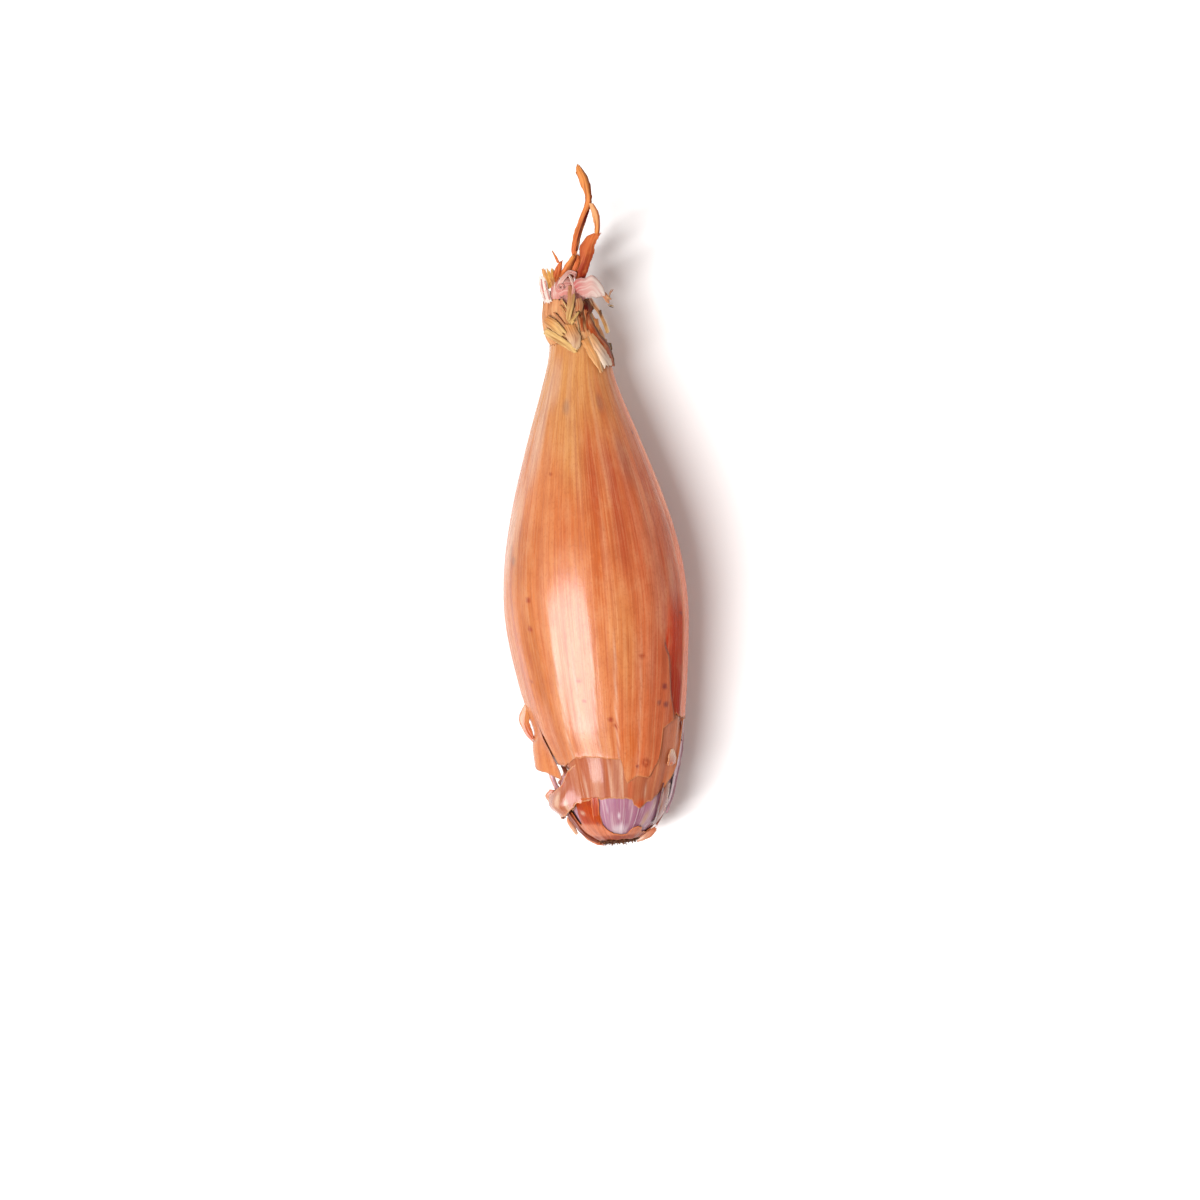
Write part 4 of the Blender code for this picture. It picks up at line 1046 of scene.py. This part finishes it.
# Torn blades, as the colours of their near and far end, their stations and, for some, the colour of
# their first edge. A station holds the x, y of one edge, the x, y of the other and the height over
# what lies below. Places are as seen from the camera on the level of the axis.
SHEATH_BLADES = {
    # Painted light: a bright orange piece, as thin skin shines with light coming through it.
    "glow": (AMBER_GLOW, AMBER_GLOW, (
        (5.2, 61.8, 4.1, 61.9, 0.2), (5.3, 60.3, 3.8, 60.6, 0.4), (5.0, 59.2, 3.9, 59.3, 0.2))),
    # Painted shade: a dark red strip for the shade between the tongue and the skin at its right.
    "tongue_shadow": (UMBER_RED, UMBER_RED, (
        (3.4, 63.9, 2.2, 64.0, 0.5), (4.2, 61.4, 2.6, 61.2, 0.6), (5.4, 58.6, 3.5, 58.4, 0.6),
        (7.1, 56.2, 5.1, 56.2, 0.7), (7.8, 53.8, 6.3, 53.7, 0.6), (8.0, 51.5, 7.3, 51.5, 0.4)), BARK),
    "knob": (BARK, BARK, (
        (7.6, 56.4, 6.9, 56.5, 0.3), (7.7, 55.3, 6.9, 55.6, 0.6), (7.3, 54.7, 6.8, 54.8, 0.3))),
    "collar_upper": (AMBER, STRAW, (
        (-5.4, 63.4, -6.5, 62.1, 0.5), (-3.8, 62.1, -5.2, 60.6, 0.9), (-1.9, 59.7, -3.1, 58.8, 0.7))),
    "collar_lower": (STRAW, STRAW, (
        (-6.0, 60.7, -6.7, 59.5, 0.3), (-4.0, 59.3, -5.0, 58.2, 0.9), (-1.8, 57.7, -2.8, 56.5, 0.9),
        (0.2, 55.8, -0.3, 54.8, 0.5))),
    "flap": (AMBER, SHELL, (
        (0.2, 61.0, -2.4, 61.2, 0.2), (0.8, 59.6, -2.1, 59.4, 0.4), (1.2, 58.0, -1.6, 57.7, 0.7),
        (0.8, 56.4, -0.9, 56.3, 0.7), (0.2, 55.6, -0.4, 55.5, 0.5))),
    "tongue": (AMBER, HONEY, (
        (3.2, 58.4, 1.2, 57.3, 0.6), (3.9, 56.6, 2.1, 55.3, 0.8), (4.8, 54.2, 3.3, 52.9, 0.9),
        (5.2, 51.9, 4.4, 51.2, 0.8), (5.3, 50.6, 4.7, 50.3, 0.7)), SHELL),
    "tongue_right": (HONEY, CREAM, (
        (3.8, 58.9, 2.9, 58.2, 0.8), (5.1, 56.9, 3.7, 56.0, 1.1), (6.2, 54.8, 4.7, 53.6, 1.2),
        (7.4, 52.2, 5.6, 51.0, 0.9))),
    "dark_fibre_2": (BARK, UMBER_RED, (
        (2.5, 64.8, 2.0, 64.8, 0.4), (2.0, 62.0, 1.5, 62.0, 0.6), (1.9, 59.6, 1.5, 59.6, 0.4))),
    "dark_fibre_3": (BARK, UMBER_RED, (
        (3.6, 64.4, 3.2, 64.5, 0.4), (3.0, 62.4, 2.6, 62.4, 0.7), (3.0, 59.8, 2.6, 59.8, 0.5))),
    "hole_left": (DUSK, UMBER_RED, (
        (2.0, 66.6, 0.8, 66.4, 0.6), (2.2, 65.2, 0.6, 64.9, 0.8), (1.9, 63.8, 0.3, 63.5, 0.7))),
    "centre": (DUSK, GREENISH, (
        (0.3, 69.4, -0.5, 69.4, 0.9), (0.6, 67.5, -0.8, 67.6, 0.9), (0.4, 65.6, -1.0, 65.7, 0.7),
        (-0.6, 62.8, -1.6, 62.8, 0.6), (-0.9, 61.6, -1.3, 61.7, 0.4)), STRAW),
    "v_arm": (GREENISH, STRAW, (
        (-1.0, 61.9, -1.1, 61.3, 0.5), (0.1, 62.7, 0.1, 62.1, 0.6), (1.1, 63.7, 1.2, 63.2, 0.5))),
    "v_arm_low": (STRAW, STRAW, (
        (-0.7, 61.5, -0.6, 61.0, 0.5), (0.1, 62.2, 0.3, 61.7, 0.6))),
    "hanging": (DUSK, GREENISH, (
        (4.2, 66.4, 3.4, 66.3, 0.7), (5.2, 64.7, 4.4, 64.3, 1.1), (6.0, 63.2, 5.3, 63.0, 1.2),
        (6.8, 61.2, 6.1, 60.9, 1.2), (7.5, 59.0, 6.8, 58.6, 1.2)), CREAM),
    "hanging_spot": (BARK, BARK, (
        (6.0, 63.6, 5.5, 63.5, 1.5), (6.1, 62.6, 5.6, 62.6, 1.5))),
    "crumb": (DUSK, DUSK, (
        (7.2, 67.4, 6.5, 66.6, 1.5), (8.0, 66.3, 7.2, 65.5, 1.6), (8.4, 65.8, 7.7, 65.0, 1.4))),
    "crumb_tip": (BARK, DUSK, (
        (8.0, 66.0, 7.7, 66.1, 1.6), (8.3, 66.9, 8.0, 66.9, 1.7), (8.7, 67.6, 8.4, 67.5, 1.6))),
    "crumb_low": (BARK, BARK, (
        (8.0, 64.6, 7.6, 64.4, 1.4), (8.7, 64.4, 8.3, 64.1, 1.4))),
    "tuft": (GOLD, AMBER, (
        (-4.0, 69.4, -5.0, 69.0, 0.3), (-4.5, 70.9, -5.4, 70.7, 0.6), (-4.9, 72.1, -5.8, 71.9, 0.8),
        (-5.2, 73.4, -6.1, 73.6, 0.9))),
    "tuft_middle": (AMBER, GOLD, (
        (-3.8, 69.4, -4.6, 69.4, 0.4), (-4.0, 71.4, -4.9, 71.3, 0.7), (-4.3, 73.0, -4.9, 73.1, 0.8))),
    "tuft_right": (DUSK, GOLD, (
        (-3.3, 69.6, -4.1, 69.6, 0.5), (-3.4, 71.4, -4.3, 71.5, 0.8), (-3.4, 72.8, -4.0, 73.2, 0.9))),
}
PINK_BLADES = {
    "left": (PINK, BLUSH, (
        (-2.4, 66.7, -4.4, 66.8, 0.4), (-2.5, 68.4, -4.4, 68.6, 0.6), (-2.8, 70.1, -3.8, 70.0, 0.5))),
    "striped": (PETAL_WHITE, PETAL_WHITE, (
        (-5.4, 71.6, -6.4, 72.1, 0.6), (-5.0, 69.9, -6.7, 70.1, 0.7), (-4.7, 68.1, -6.4, 67.8, 0.6),
        (-4.3, 66.4, -5.9, 66.0, 0.4))),
    "stripe": (CRIMSON, PINK, (
        (-6.1, 71.2, -6.4, 71.3, 0.8), (-6.0, 69.4, -6.3, 69.4, 0.9), (-5.5, 67.0, -5.8, 66.9, 0.7))),
    "stripe_right": (PINK, CRIMSON, (
        (-5.4, 70.8, -5.6, 70.8, 0.9), (-5.1, 69.2, -5.4, 69.2, 1.0), (-4.6, 66.8, -4.9, 66.8, 0.7))),
    "middle": (PINK, PINK, (
        (-4.3, 69.8, -4.4, 66.9, 0.2), (-3.0, 70.9, -2.9, 67.0, 0.4), (-1.2, 71.6, -1.2, 67.2, 0.5),
        (0.4, 71.3, 0.6, 67.2, 0.3))),
    "curl": (BLUSH, PINK, (
        (-2.9, 69.6, -2.2, 69.3, 0.9), (-2.3, 70.9, -1.6, 70.3, 1.3), (-1.2, 72.0, -0.9, 71.2, 1.6),
        (0.0, 72.7, 0.0, 71.9, 1.7), (1.3, 72.1, 0.7, 71.5, 1.4), (1.1, 71.1, 0.6, 70.9, 1.1))),
    "curl_end": (BLUSH, PINK, (
        (-0.6, 72.0, 0.1, 71.6, 1.4), (-0.1, 70.4, 0.7, 70.2, 1.4), (0.1, 68.9, 0.9, 68.7, 1.2),
        (-0.4, 67.4, 0.4, 67.2, 1.0))),
}
PETAL_BLADES = {
    "petal": (ROSE_RED, PETAL_WHITE, (
        (0.0, 69.2, 0.0, 68.5, 3.6), (1.4, 70.5, 1.6, 67.5, 4.0), (3.0, 70.7, 3.0, 66.7, 4.1),
        (4.6, 71.1, 4.7, 66.4, 3.8), (6.6, 69.1, 6.0, 66.3, 3.0), (7.1, 67.7, 6.8, 66.4, 2.4))),
}
LEAF_BLADES = {
    # Painted shade: a near-black sheet in the hollow at the top of the neck.
    "pit_shadow": (PIT_SHADOW, LEAF_SHADE, (
        (3.6, 66.4, 2.6, 66.3, 0.5), (4.4, 65.4, 2.1, 65.5, 0.6), (4.6, 64.2, 2.2, 64.5, 0.6),
        (4.1, 63.4, 2.7, 63.3, 0.5))),
    "stub": (UMBER_RED, LEAF, (
        (-2.7, 70.6, -3.6, 70.1, 0.4), (-2.1, 71.8, -3.9, 71.7, 0.8), (-1.7, 73.0, -3.4, 72.7, 1.0),
        (-1.6, 74.1, -2.4, 74.3, 0.9), (-1.6, 74.7, -1.8, 74.6, 0.8))),
    "spike": (LEAF, LEAF_TIP, (
        (-2.0, 74.5, -2.5, 74.4, 0.8), (-2.5, 75.7, -3.0, 75.8, 1.0), (-3.2, 76.9, -3.4, 76.9, 1.1))),
    "fold_back": (LEAF_DARK, LEAF_DARK, (
        (-0.6, 70.0, -2.6, 70.6, 0.3), (1.4, 71.6, -1.2, 72.6, 0.6), (2.4, 73.4, 0.2, 74.4, 0.7),
        (2.6, 75.4, 1.2, 75.8, 0.6))),
    "fold_left": (LEAF, LEAF_TIP, (
        (-1.6, 70.6, -2.4, 71.4, 1.0), (-0.2, 72.4, -1.4, 73.2, 1.3), (0.8, 74.0, -0.2, 74.8, 1.5),
        (1.6, 75.4, 0.9, 75.9, 1.3)), LEAF_SHADE),
    "fold_right": (LEAF, LEAF, (
        (0.6, 71.6, 0.2, 72.1, 1.0), (1.7, 72.9, 0.7, 73.4, 1.3), (2.3, 74.3, 1.5, 74.8, 1.3),
        (2.3, 75.7, 1.9, 75.9, 1.0))),
    "broad": (LEAF_DARK, LEAF, (
        (2.6, 68.8, 1.0, 69.4, 0.2), (3.4, 71.3, 1.0, 72.3, 0.7), (4.5, 73.7, 2.0, 74.3, 1.0),
        (5.2, 75.4, 2.2, 76.4, 1.1), (5.7, 77.0, 3.0, 78.3, 1.0), (6.3, 78.4, 4.2, 79.6, 0.8),
        (6.9, 79.3, 5.8, 80.2, 0.6), (7.3, 79.9, 7.0, 80.2, 0.5))),
    "strand": (LEAF, LEAF_TIP, (
        (1.7, 75.4, 0.7, 75.5, 0.6), (2.2, 77.6, 0.7, 77.8, 1.0), (3.5, 81.1, 1.7, 81.1, 0.9),
        (4.5, 83.8, 2.8, 83.5, 0.8), (5.5, 85.9, 4.2, 86.6, 0.8), (5.9, 87.3, 4.4, 88.2, 0.9),
        (6.0, 89.3, 3.8, 90.6, 0.9), (5.5, 92.2, 2.9, 93.6, 0.8), (3.8, 95.0, 3.3, 95.1, 0.6)),
        LEAF_SHADE),
    "strand_shade": (LEAF_SHADE, LEAF_SHADE, (
        (2.1, 76.8, 1.6, 76.6, 1.1), (2.9, 79.5, 2.3, 79.7, 1.2), (3.7, 81.6, 3.1, 81.9, 1.1),
        (4.5, 83.6, 4.0, 83.8, 1.0), (5.0, 84.8, 4.7, 84.9, 0.9))),
    "strand_right": (LEAF_PALE, LEAF_TIP, (
        (6.1, 86.6, 5.2, 86.7, 0.8), (7.1, 84.3, 5.7, 84.5, 0.7), (7.2, 81.8, 6.0, 82.1, 0.6),
        (6.7, 79.7, 6.0, 80.2, 0.5)), LEAF_DARK),
}

# A small ring curl, as its middle and radius, and loose fibres.
RING = ((-2.2, 69.3), 0.6)
FIBRE_COUNT = 11

# How finely a blade is divided across and between stations, over what length its end frays, and the
# sum of a colour so dark that its edges aren't paler.
BLADE_ACROSS = 13
BLADE_STEPS = 12
FRAY_LENGTH = 1.5
DARK_SUM = 0.26

# What the blades lie on: the radius of the dried neck, and the level of the leaves, by y.
NECK_REACH = (
    (45.0, 9.1), (50.0, 7.7), (55.0, 6.7), (58.3, 6.3), (61.0, 6.1), (66.0, 5.4), (70.0, 4.2),
    (73.0, 2.0),
)
LEAF_LEVEL = (
    (45.0, 17.0), (66.0, 20.0), (70.0, 21.2), (74.0, 22.2), (80.0, 22.8), (88.0, 23.2), (96.0, 24.2),
)


def leaf_level(x, y):
    """The level of the leaves, also over the drop beside the neck."""
    return read_curve(LEAF_LEVEL, y)[..., 0]


def neck_level(x, y):
    """The height of the dried neck, or past it of the leaves, at a place seen from above."""
    reach = read_curve(NECK_REACH, y)[..., 0]
    shift = np.interp(y, *np.array(NECK_SHIFT).T)
    out = np.clip(1.0 - ((x - shift) / reach) ** 2, 0.0, 1.0)
    return np.maximum(AXIS_HEIGHT + reach * np.sqrt(out), leaf_level(x, y))


def from_above(x, y, z):
    """The place at height z that the camera sees where x, y on the level of the axis would be."""
    nearer = (CAMERA_HEIGHT - z) / (CAMERA_HEIGHT - AXIS_HEIGHT)
    middle_x, middle_y = CAMERA_MIDDLE
    return np.stack([middle_x + (x - middle_x) * nearer, middle_y + (y - middle_y) * nearer, z], axis=-1)


def add_blade(stock, stations, near, far, seed, level=neck_level, cup=0.16, fray=0.5, side=None):
    """A thin torn piece between two edges: cupped, wavy, and frayed at its far end. side is the
    colour along its first edge, where that is darker or paler."""
    rows = read_steps(stations, np.arange((len(stations) - 1) * BLADE_STEPS + 1) / BLADE_STEPS)
    one, other, lift = rows[:, 0:2], rows[:, 2:4], rows[:, 4:5]
    width = np.linalg.norm(one - other, axis=1)[:, None]
    middle = (one + other) / 2
    steps = np.linalg.norm(np.diff(middle, axis=0), axis=1)
    gone = np.concatenate([[0.0], np.cumsum(steps)])[:, None]
    across = np.linspace(0.0, 1.0, BLADE_ACROSS)[None]
    rough = 0.09 * ripple(seed, across * 30.0, gone, 12, 1.7)
    rough = rough + 0.09 * ripple(seed + 3, across * 30.0, gone, 12, 0.6)
    ragged = 0.5 + (across - 0.5) * (1.0 + rough)
    flat = one[:, None] + (other - one)[:, None] * ragged[..., None]
    heading = np.gradient(middle, axis=0)
    heading /= np.linalg.norm(heading, axis=1)[:, None]
    end = ramp(gone, gone[-1] - FRAY_LENGTH, gone[-1]) * fray
    end = end * ripple(seed + 1, across * 150.0, 0.0 * gone, 24, 1.0)
    flat = flat + heading[:, None] * end[..., None]
    x, y = flat[..., 0], flat[..., 1]
    folds = 0.10 * ripple(seed + 2, across * 120.0, gone, 14, 3.0)
    bend = 4.0 * across * (1.0 - across)
    z = level(x, y) + lift + width * cup * (bend - 0.5) + folds
    edge = np.minimum(np.minimum(across, 1.0 - across) * width, gone[-1] - gone + 0.1)
    if near.sum() < DARK_SUM:
        edge = edge + 1.0
    place = np.stack([across * width + 10.0 * seed, gone + 0 * across, folds], axis=-1)
    tint = toward(near, far, smooth(gone / gone[-1] + 0 * across))
    if side is not None:
        tint = toward(tint, side, 0.85 * ramp(across, 0.42, 0.12))
    stock.add_grid(from_above(x, y, z), place, tint, edge)


def add_blades(stock, blades, seed, level=neck_level, cup=0.16):
    """Adds all blades of a table."""
    for k, (near, far, stations, *side) in enumerate(blades.values()):
        add_blade(stock, stations, near, far, seed + 7 * k, level, cup, side=side[0] if side else None)


def add_tube(stock, radii, tear, near, far, seed):
    """A dried sheath round the long axis from its torn top edge down, with pleats and folds."""
    angles = np.arange(-180.0, 180.0, 2.5)
    top = read_tear(tear, angles) + 0.35 * ripple(seed, angles, 0.0, 70, 1.0)
    bottom = radii[0][0]
    y = top + (bottom - top) * np.linspace(0.0, 1.0, TUBE_ROWS + 1)[:, None]
    angle = np.broadcast_to(angles, y.shape)
    pleats = 0.045 * ramp(y, *TUBE_FREE) * ripple(seed + 1, angle, y, 16, 9.0)
    reach = read_curve(radii, y)[..., 0] * (1 + pleats) + 0.09 * ripple(seed + 2, angle, y, 60, 9.0)
    shift = np.interp(y, *np.array(NECK_SHIFT).T)
    turn = np.radians(angle)
    points = round_axis(reach, y, turn, shift, AXIS_HEIGHT)
    tint = toward(near, far, ramp(y, bottom, top))
    stock.add_grid(points, round_axis(NECK_GIRTH, y, turn), tint, top - y, closed=True)


def add_fibres(stock, seed):
    """Loose dry fibres on the sheath that run together toward the lower middle."""
    draw = np.random.default_rng(seed)
    shades = (UMBER_RED, AMBER, DUSK, AMBER, BARK, STRAW)
    for k in range(FIBRE_COUNT):
        at = draw.uniform(-1.0, 1.0)
        top, low = draw.uniform(63.5, 66.2), draw.uniform(57.6, 60.5)
        start, end = -1.3 + 4.9 * at, 0.5 + 3.4 * at + draw.uniform(-0.4, 0.4)
        half = draw.uniform(0.06, 0.18)
        middle, way = (start + end) / 2 + draw.uniform(-0.3, 0.3), (top + low) / 2
        lift = draw.uniform(-0.02, 0.10)
        stations = [(x + half, y, x - half, y, rise) for x, y, rise in (
            (start, top, lift), (middle, way, lift + 0.06), (end, low, lift))]
        near, far = shades[k % len(shades)], shades[(k + 2) % len(shades)]
        add_blade(stock, stations, near, far, seed + k, fray=0.3)


def add_ring(stock, middle, radius, tint, seed):
    """A small ring curl, as a strip that closes on itself."""
    stations = []
    for t in np.linspace(0.0, 1.9 * math.pi, 7):
        out = radius * np.array([math.cos(t), math.sin(t)])
        stations.append((*(middle + 1.35 * out), *(middle + 0.55 * out), 1.2 + 0.1 * t))
    add_blade(stock, stations, tint, tint, seed, fray=0.0)


def make_neck():
    straw = fibrous("straw_fibres", colour(244, 206, 150), colour(140, 72, 38))
    stock = Stock()
    add_tube(stock, SHEATH_RADII, SHEATH_TEAR, HONEY, TOFFEE, 71)
    add_fibres(stock, 75)
    add_blades(stock, SHEATH_BLADES, 573)
    make_piece("neck_straw", stock, straw, "neck_sheath", PAPER)
    pink = fibrous("pink_fibres", colour(250, 226, 210), colour(222, 156, 144))
    stock = Stock()
    add_tube(stock, PINK_RADII, PINK_TEAR, PINK, PINK, 171)
    add_blades(stock, PINK_BLADES, 173)
    add_blades(stock, PETAL_BLADES, 223, leaf_level)
    add_ring(stock, *RING, PINK, 271)
    make_piece("neck_pink", stock, pink, "neck_pink_scale", PAPER)
    leaf = fibrous("leaf_fibres", colour(232, 148, 84), colour(126, 36, 18))
    stock = Stock()
    add_tube(stock, PLUG_RADII, PLUG_TEAR, LEAF_DARK, LEAF_DARK, 371)
    add_blades(stock, LEAF_BLADES, 373)
    make_piece("leaf_wisps", stock, leaf, "dried_leaves", PAPER)


# The root plate, as radius, y, round its middle, and its trimmed roots: rings as radius, count,
# length.
PLATE_MIDDLE = 0.9
PLATE_PROFILE = (
    (3.6, -49.15), (4.4, -49.45), (4.3, -49.9), (3.2, -50.35), (1.6, -50.5), (0.02, -50.6),
)
ROOT_START = -50.0
ROOT_RINGS = ((0.9, 5, 0.5), (1.7, 9, 0.6), (2.6, 14, 0.5), (3.2, 20, 0.35), (3.8, 22, 0.3))
ROOT_RADIUS = 0.2
CORK = colour(104, 58, 36)
CORK_DARK = colour(76, 38, 22)


def add_plate(stock):
    """The corky plate, turned round the axis from its profile."""
    angles = np.arange(0.0, 360.0, 5.0)[None]
    rows = read_steps(PLATE_PROFILE, np.linspace(0, len(PLATE_PROFILE) - 1, 31))
    radius, level = rows[:, :1], rows[:, 1:2]
    reach = radius * (1 + 0.05 * ripple(81, angles, level * 4, 24, 1.0))
    y = level + 0.12 * ripple(83, angles, radius, 20, 0.7)
    points = round_axis(reach, y, np.radians(angles), PLATE_MIDDLE, AXIS_HEIGHT)
    stock.add_grid(points, points, CORK_DARK, NO_EDGE, closed=True)


def add_root(stock, draw, radius, at, length):
    """A short bent root that tapers, at a radius and a turn on the plate."""
    out = np.array([math.sin(at), 0.0, math.cos(at)])
    start = np.array([PLATE_MIDDLE, ROOT_START, AXIS_HEIGHT]) + out * radius
    heading = np.array([0.0, -1.0, 0.0]) + out * (0.5 * radius / 4.8 + draw.uniform(-0.1, 0.3))
    heading /= np.linalg.norm(heading)
    bend = draw.uniform(-0.6, 0.6, 3)
    reach = 0.35 + length * draw.uniform(0.5, 1.4)
    side = np.cross(heading, (0.3, 0.1, 1.0))
    side /= np.linalg.norm(side)
    other = np.cross(heading, side)
    t = np.linspace(0.0, 1.0, 7)[:, None]
    middle = start + heading * reach * t + bend * t ** 2 * 0.4
    girth = ROOT_RADIUS * (1.0 - 0.6 * t) * draw.uniform(0.7, 1.2)
    ring = np.radians(np.arange(0.0, 360.0, 60.0))[:, None]
    tube = middle[:, None] + girth[..., None] * (side * np.cos(ring) + other * np.sin(ring))
    stock.add_grid(tube, tube, CORK, NO_EDGE, closed=True)


def make_roots():
    stock = Stock()
    add_plate(stock)
    draw = np.random.default_rng(85)
    for radius, count, length in ROOT_RINGS:
        for k in range(count):
            at = 2 * math.pi * (k + draw.uniform(-0.3, 0.3)) / count
            add_root(stock, draw, radius, at, length)
    make_piece("root_cork", stock, corky("root_cork"), "root_plate")


# The set: floor, soft light from the left, and the camera straight above. A lamp is its tilt, its
# size and its power.
FLOOR_SIZE = 3000.0
FLOOR_WHITE = 0.9
CAMERA_TURN = -4.5
LENS = 100.0
LAMP_AWAY = 750.0
KEY = ((-22.0, -10.0), (70.0, 430.0), 6.9)
GLOW = ((-19.0, -14.0), (600.0, 600.0), 0.6)
SHEEN = ((-36.0, -14.5), (560.0, 640.0), 9.0)
SHEEN_COLOUR = (0.94, 0.95, 1.06)
FILL = ((50.0, 40.0), (500.0, 500.0), 0.8)
SKY = 0.345
SKY_COLOUR = (1.0, 0.85, 0.805)


def make_floor():
    half = FLOOR_SIZE / 2 * MM
    mesh = bpy.data.meshes.new("table")
    corners = [(-half, -half, 0), (half, -half, 0), (half, half, 0), (-half, half, 0)]
    mesh.from_pydata(corners, [], [(0, 1, 2, 3)])
    floor = bpy.data.objects.new("table", mesh)
    bpy.context.scene.collection.objects.link(floor)
    material = bpy.data.materials.new("white_table")
    material.use_nodes = True
    shader = material.node_tree.nodes["Principled BSDF"]
    shader.inputs["Base Color"].default_value = (FLOOR_WHITE, FLOOR_WHITE, FLOOR_WHITE, 1.0)
    shader.inputs["Roughness"].default_value = 0.9
    mesh.materials.append(material)


def make_lamp(name, tilt, size, power):
    """A soft rectangular lamp, tilted from straight above toward +X and +Y, that faces the origin."""
    across, along = (math.radians(angle) for angle in tilt)
    away = Vector((math.tan(across), math.tan(along), 1.0)).normalized()
    light = bpy.data.lights.new(name, "AREA")
    light.shape = "RECTANGLE"
    light.size, light.size_y = (side * MM for side in size)
    light.energy = power
    lamp = bpy.data.objects.new(name, light)
    lamp.location = away * LAMP_AWAY * MM
    lamp.rotation_euler = away.to_track_quat("Z", "Y").to_euler()
    bpy.context.scene.collection.objects.link(lamp)
    return lamp


def make_light():
    """A key with a wide glow round it, a weak fill from the upper right, a broad lamp that only shines
    in glossy skin, and a pale sky."""
    for name, lamp in (("key", KEY), ("glow", GLOW), ("fill", FILL)):
        make_lamp(name, *lamp).visible_glossy = False
    sheen = make_lamp("sheen", *SHEEN)
    sheen.visible_diffuse = False
    sheen.data.color = SHEEN_COLOUR
    world = bpy.data.worlds.new("studio")
    world.use_nodes = True
    sky = world.node_tree.nodes["Background"]
    sky.inputs["Color"].default_value = (*SKY_COLOUR, 1.0)
    sky.inputs["Strength"].default_value = SKY
    bpy.context.scene.world = world


def make_camera():
    camera = bpy.data.cameras.new("camera")
    camera.lens = LENS
    holder = bpy.data.objects.new("camera", camera)
    holder.location = (CAMERA_MIDDLE[0] * MM, CAMERA_MIDDLE[1] * MM, CAMERA_HEIGHT * MM)
    holder.rotation_euler = (0.0, 0.0, math.radians(CAMERA_TURN))
    bpy.context.scene.collection.objects.link(holder)
    bpy.context.scene.camera = holder
    bpy.context.scene.view_settings.view_transform = "Standard"


make_floor()
make_light()
make_camera()
make_bulb()
make_base_skin()
make_under_skin()
make_outer_skin()
make_flakes()
make_roots()
make_neck()
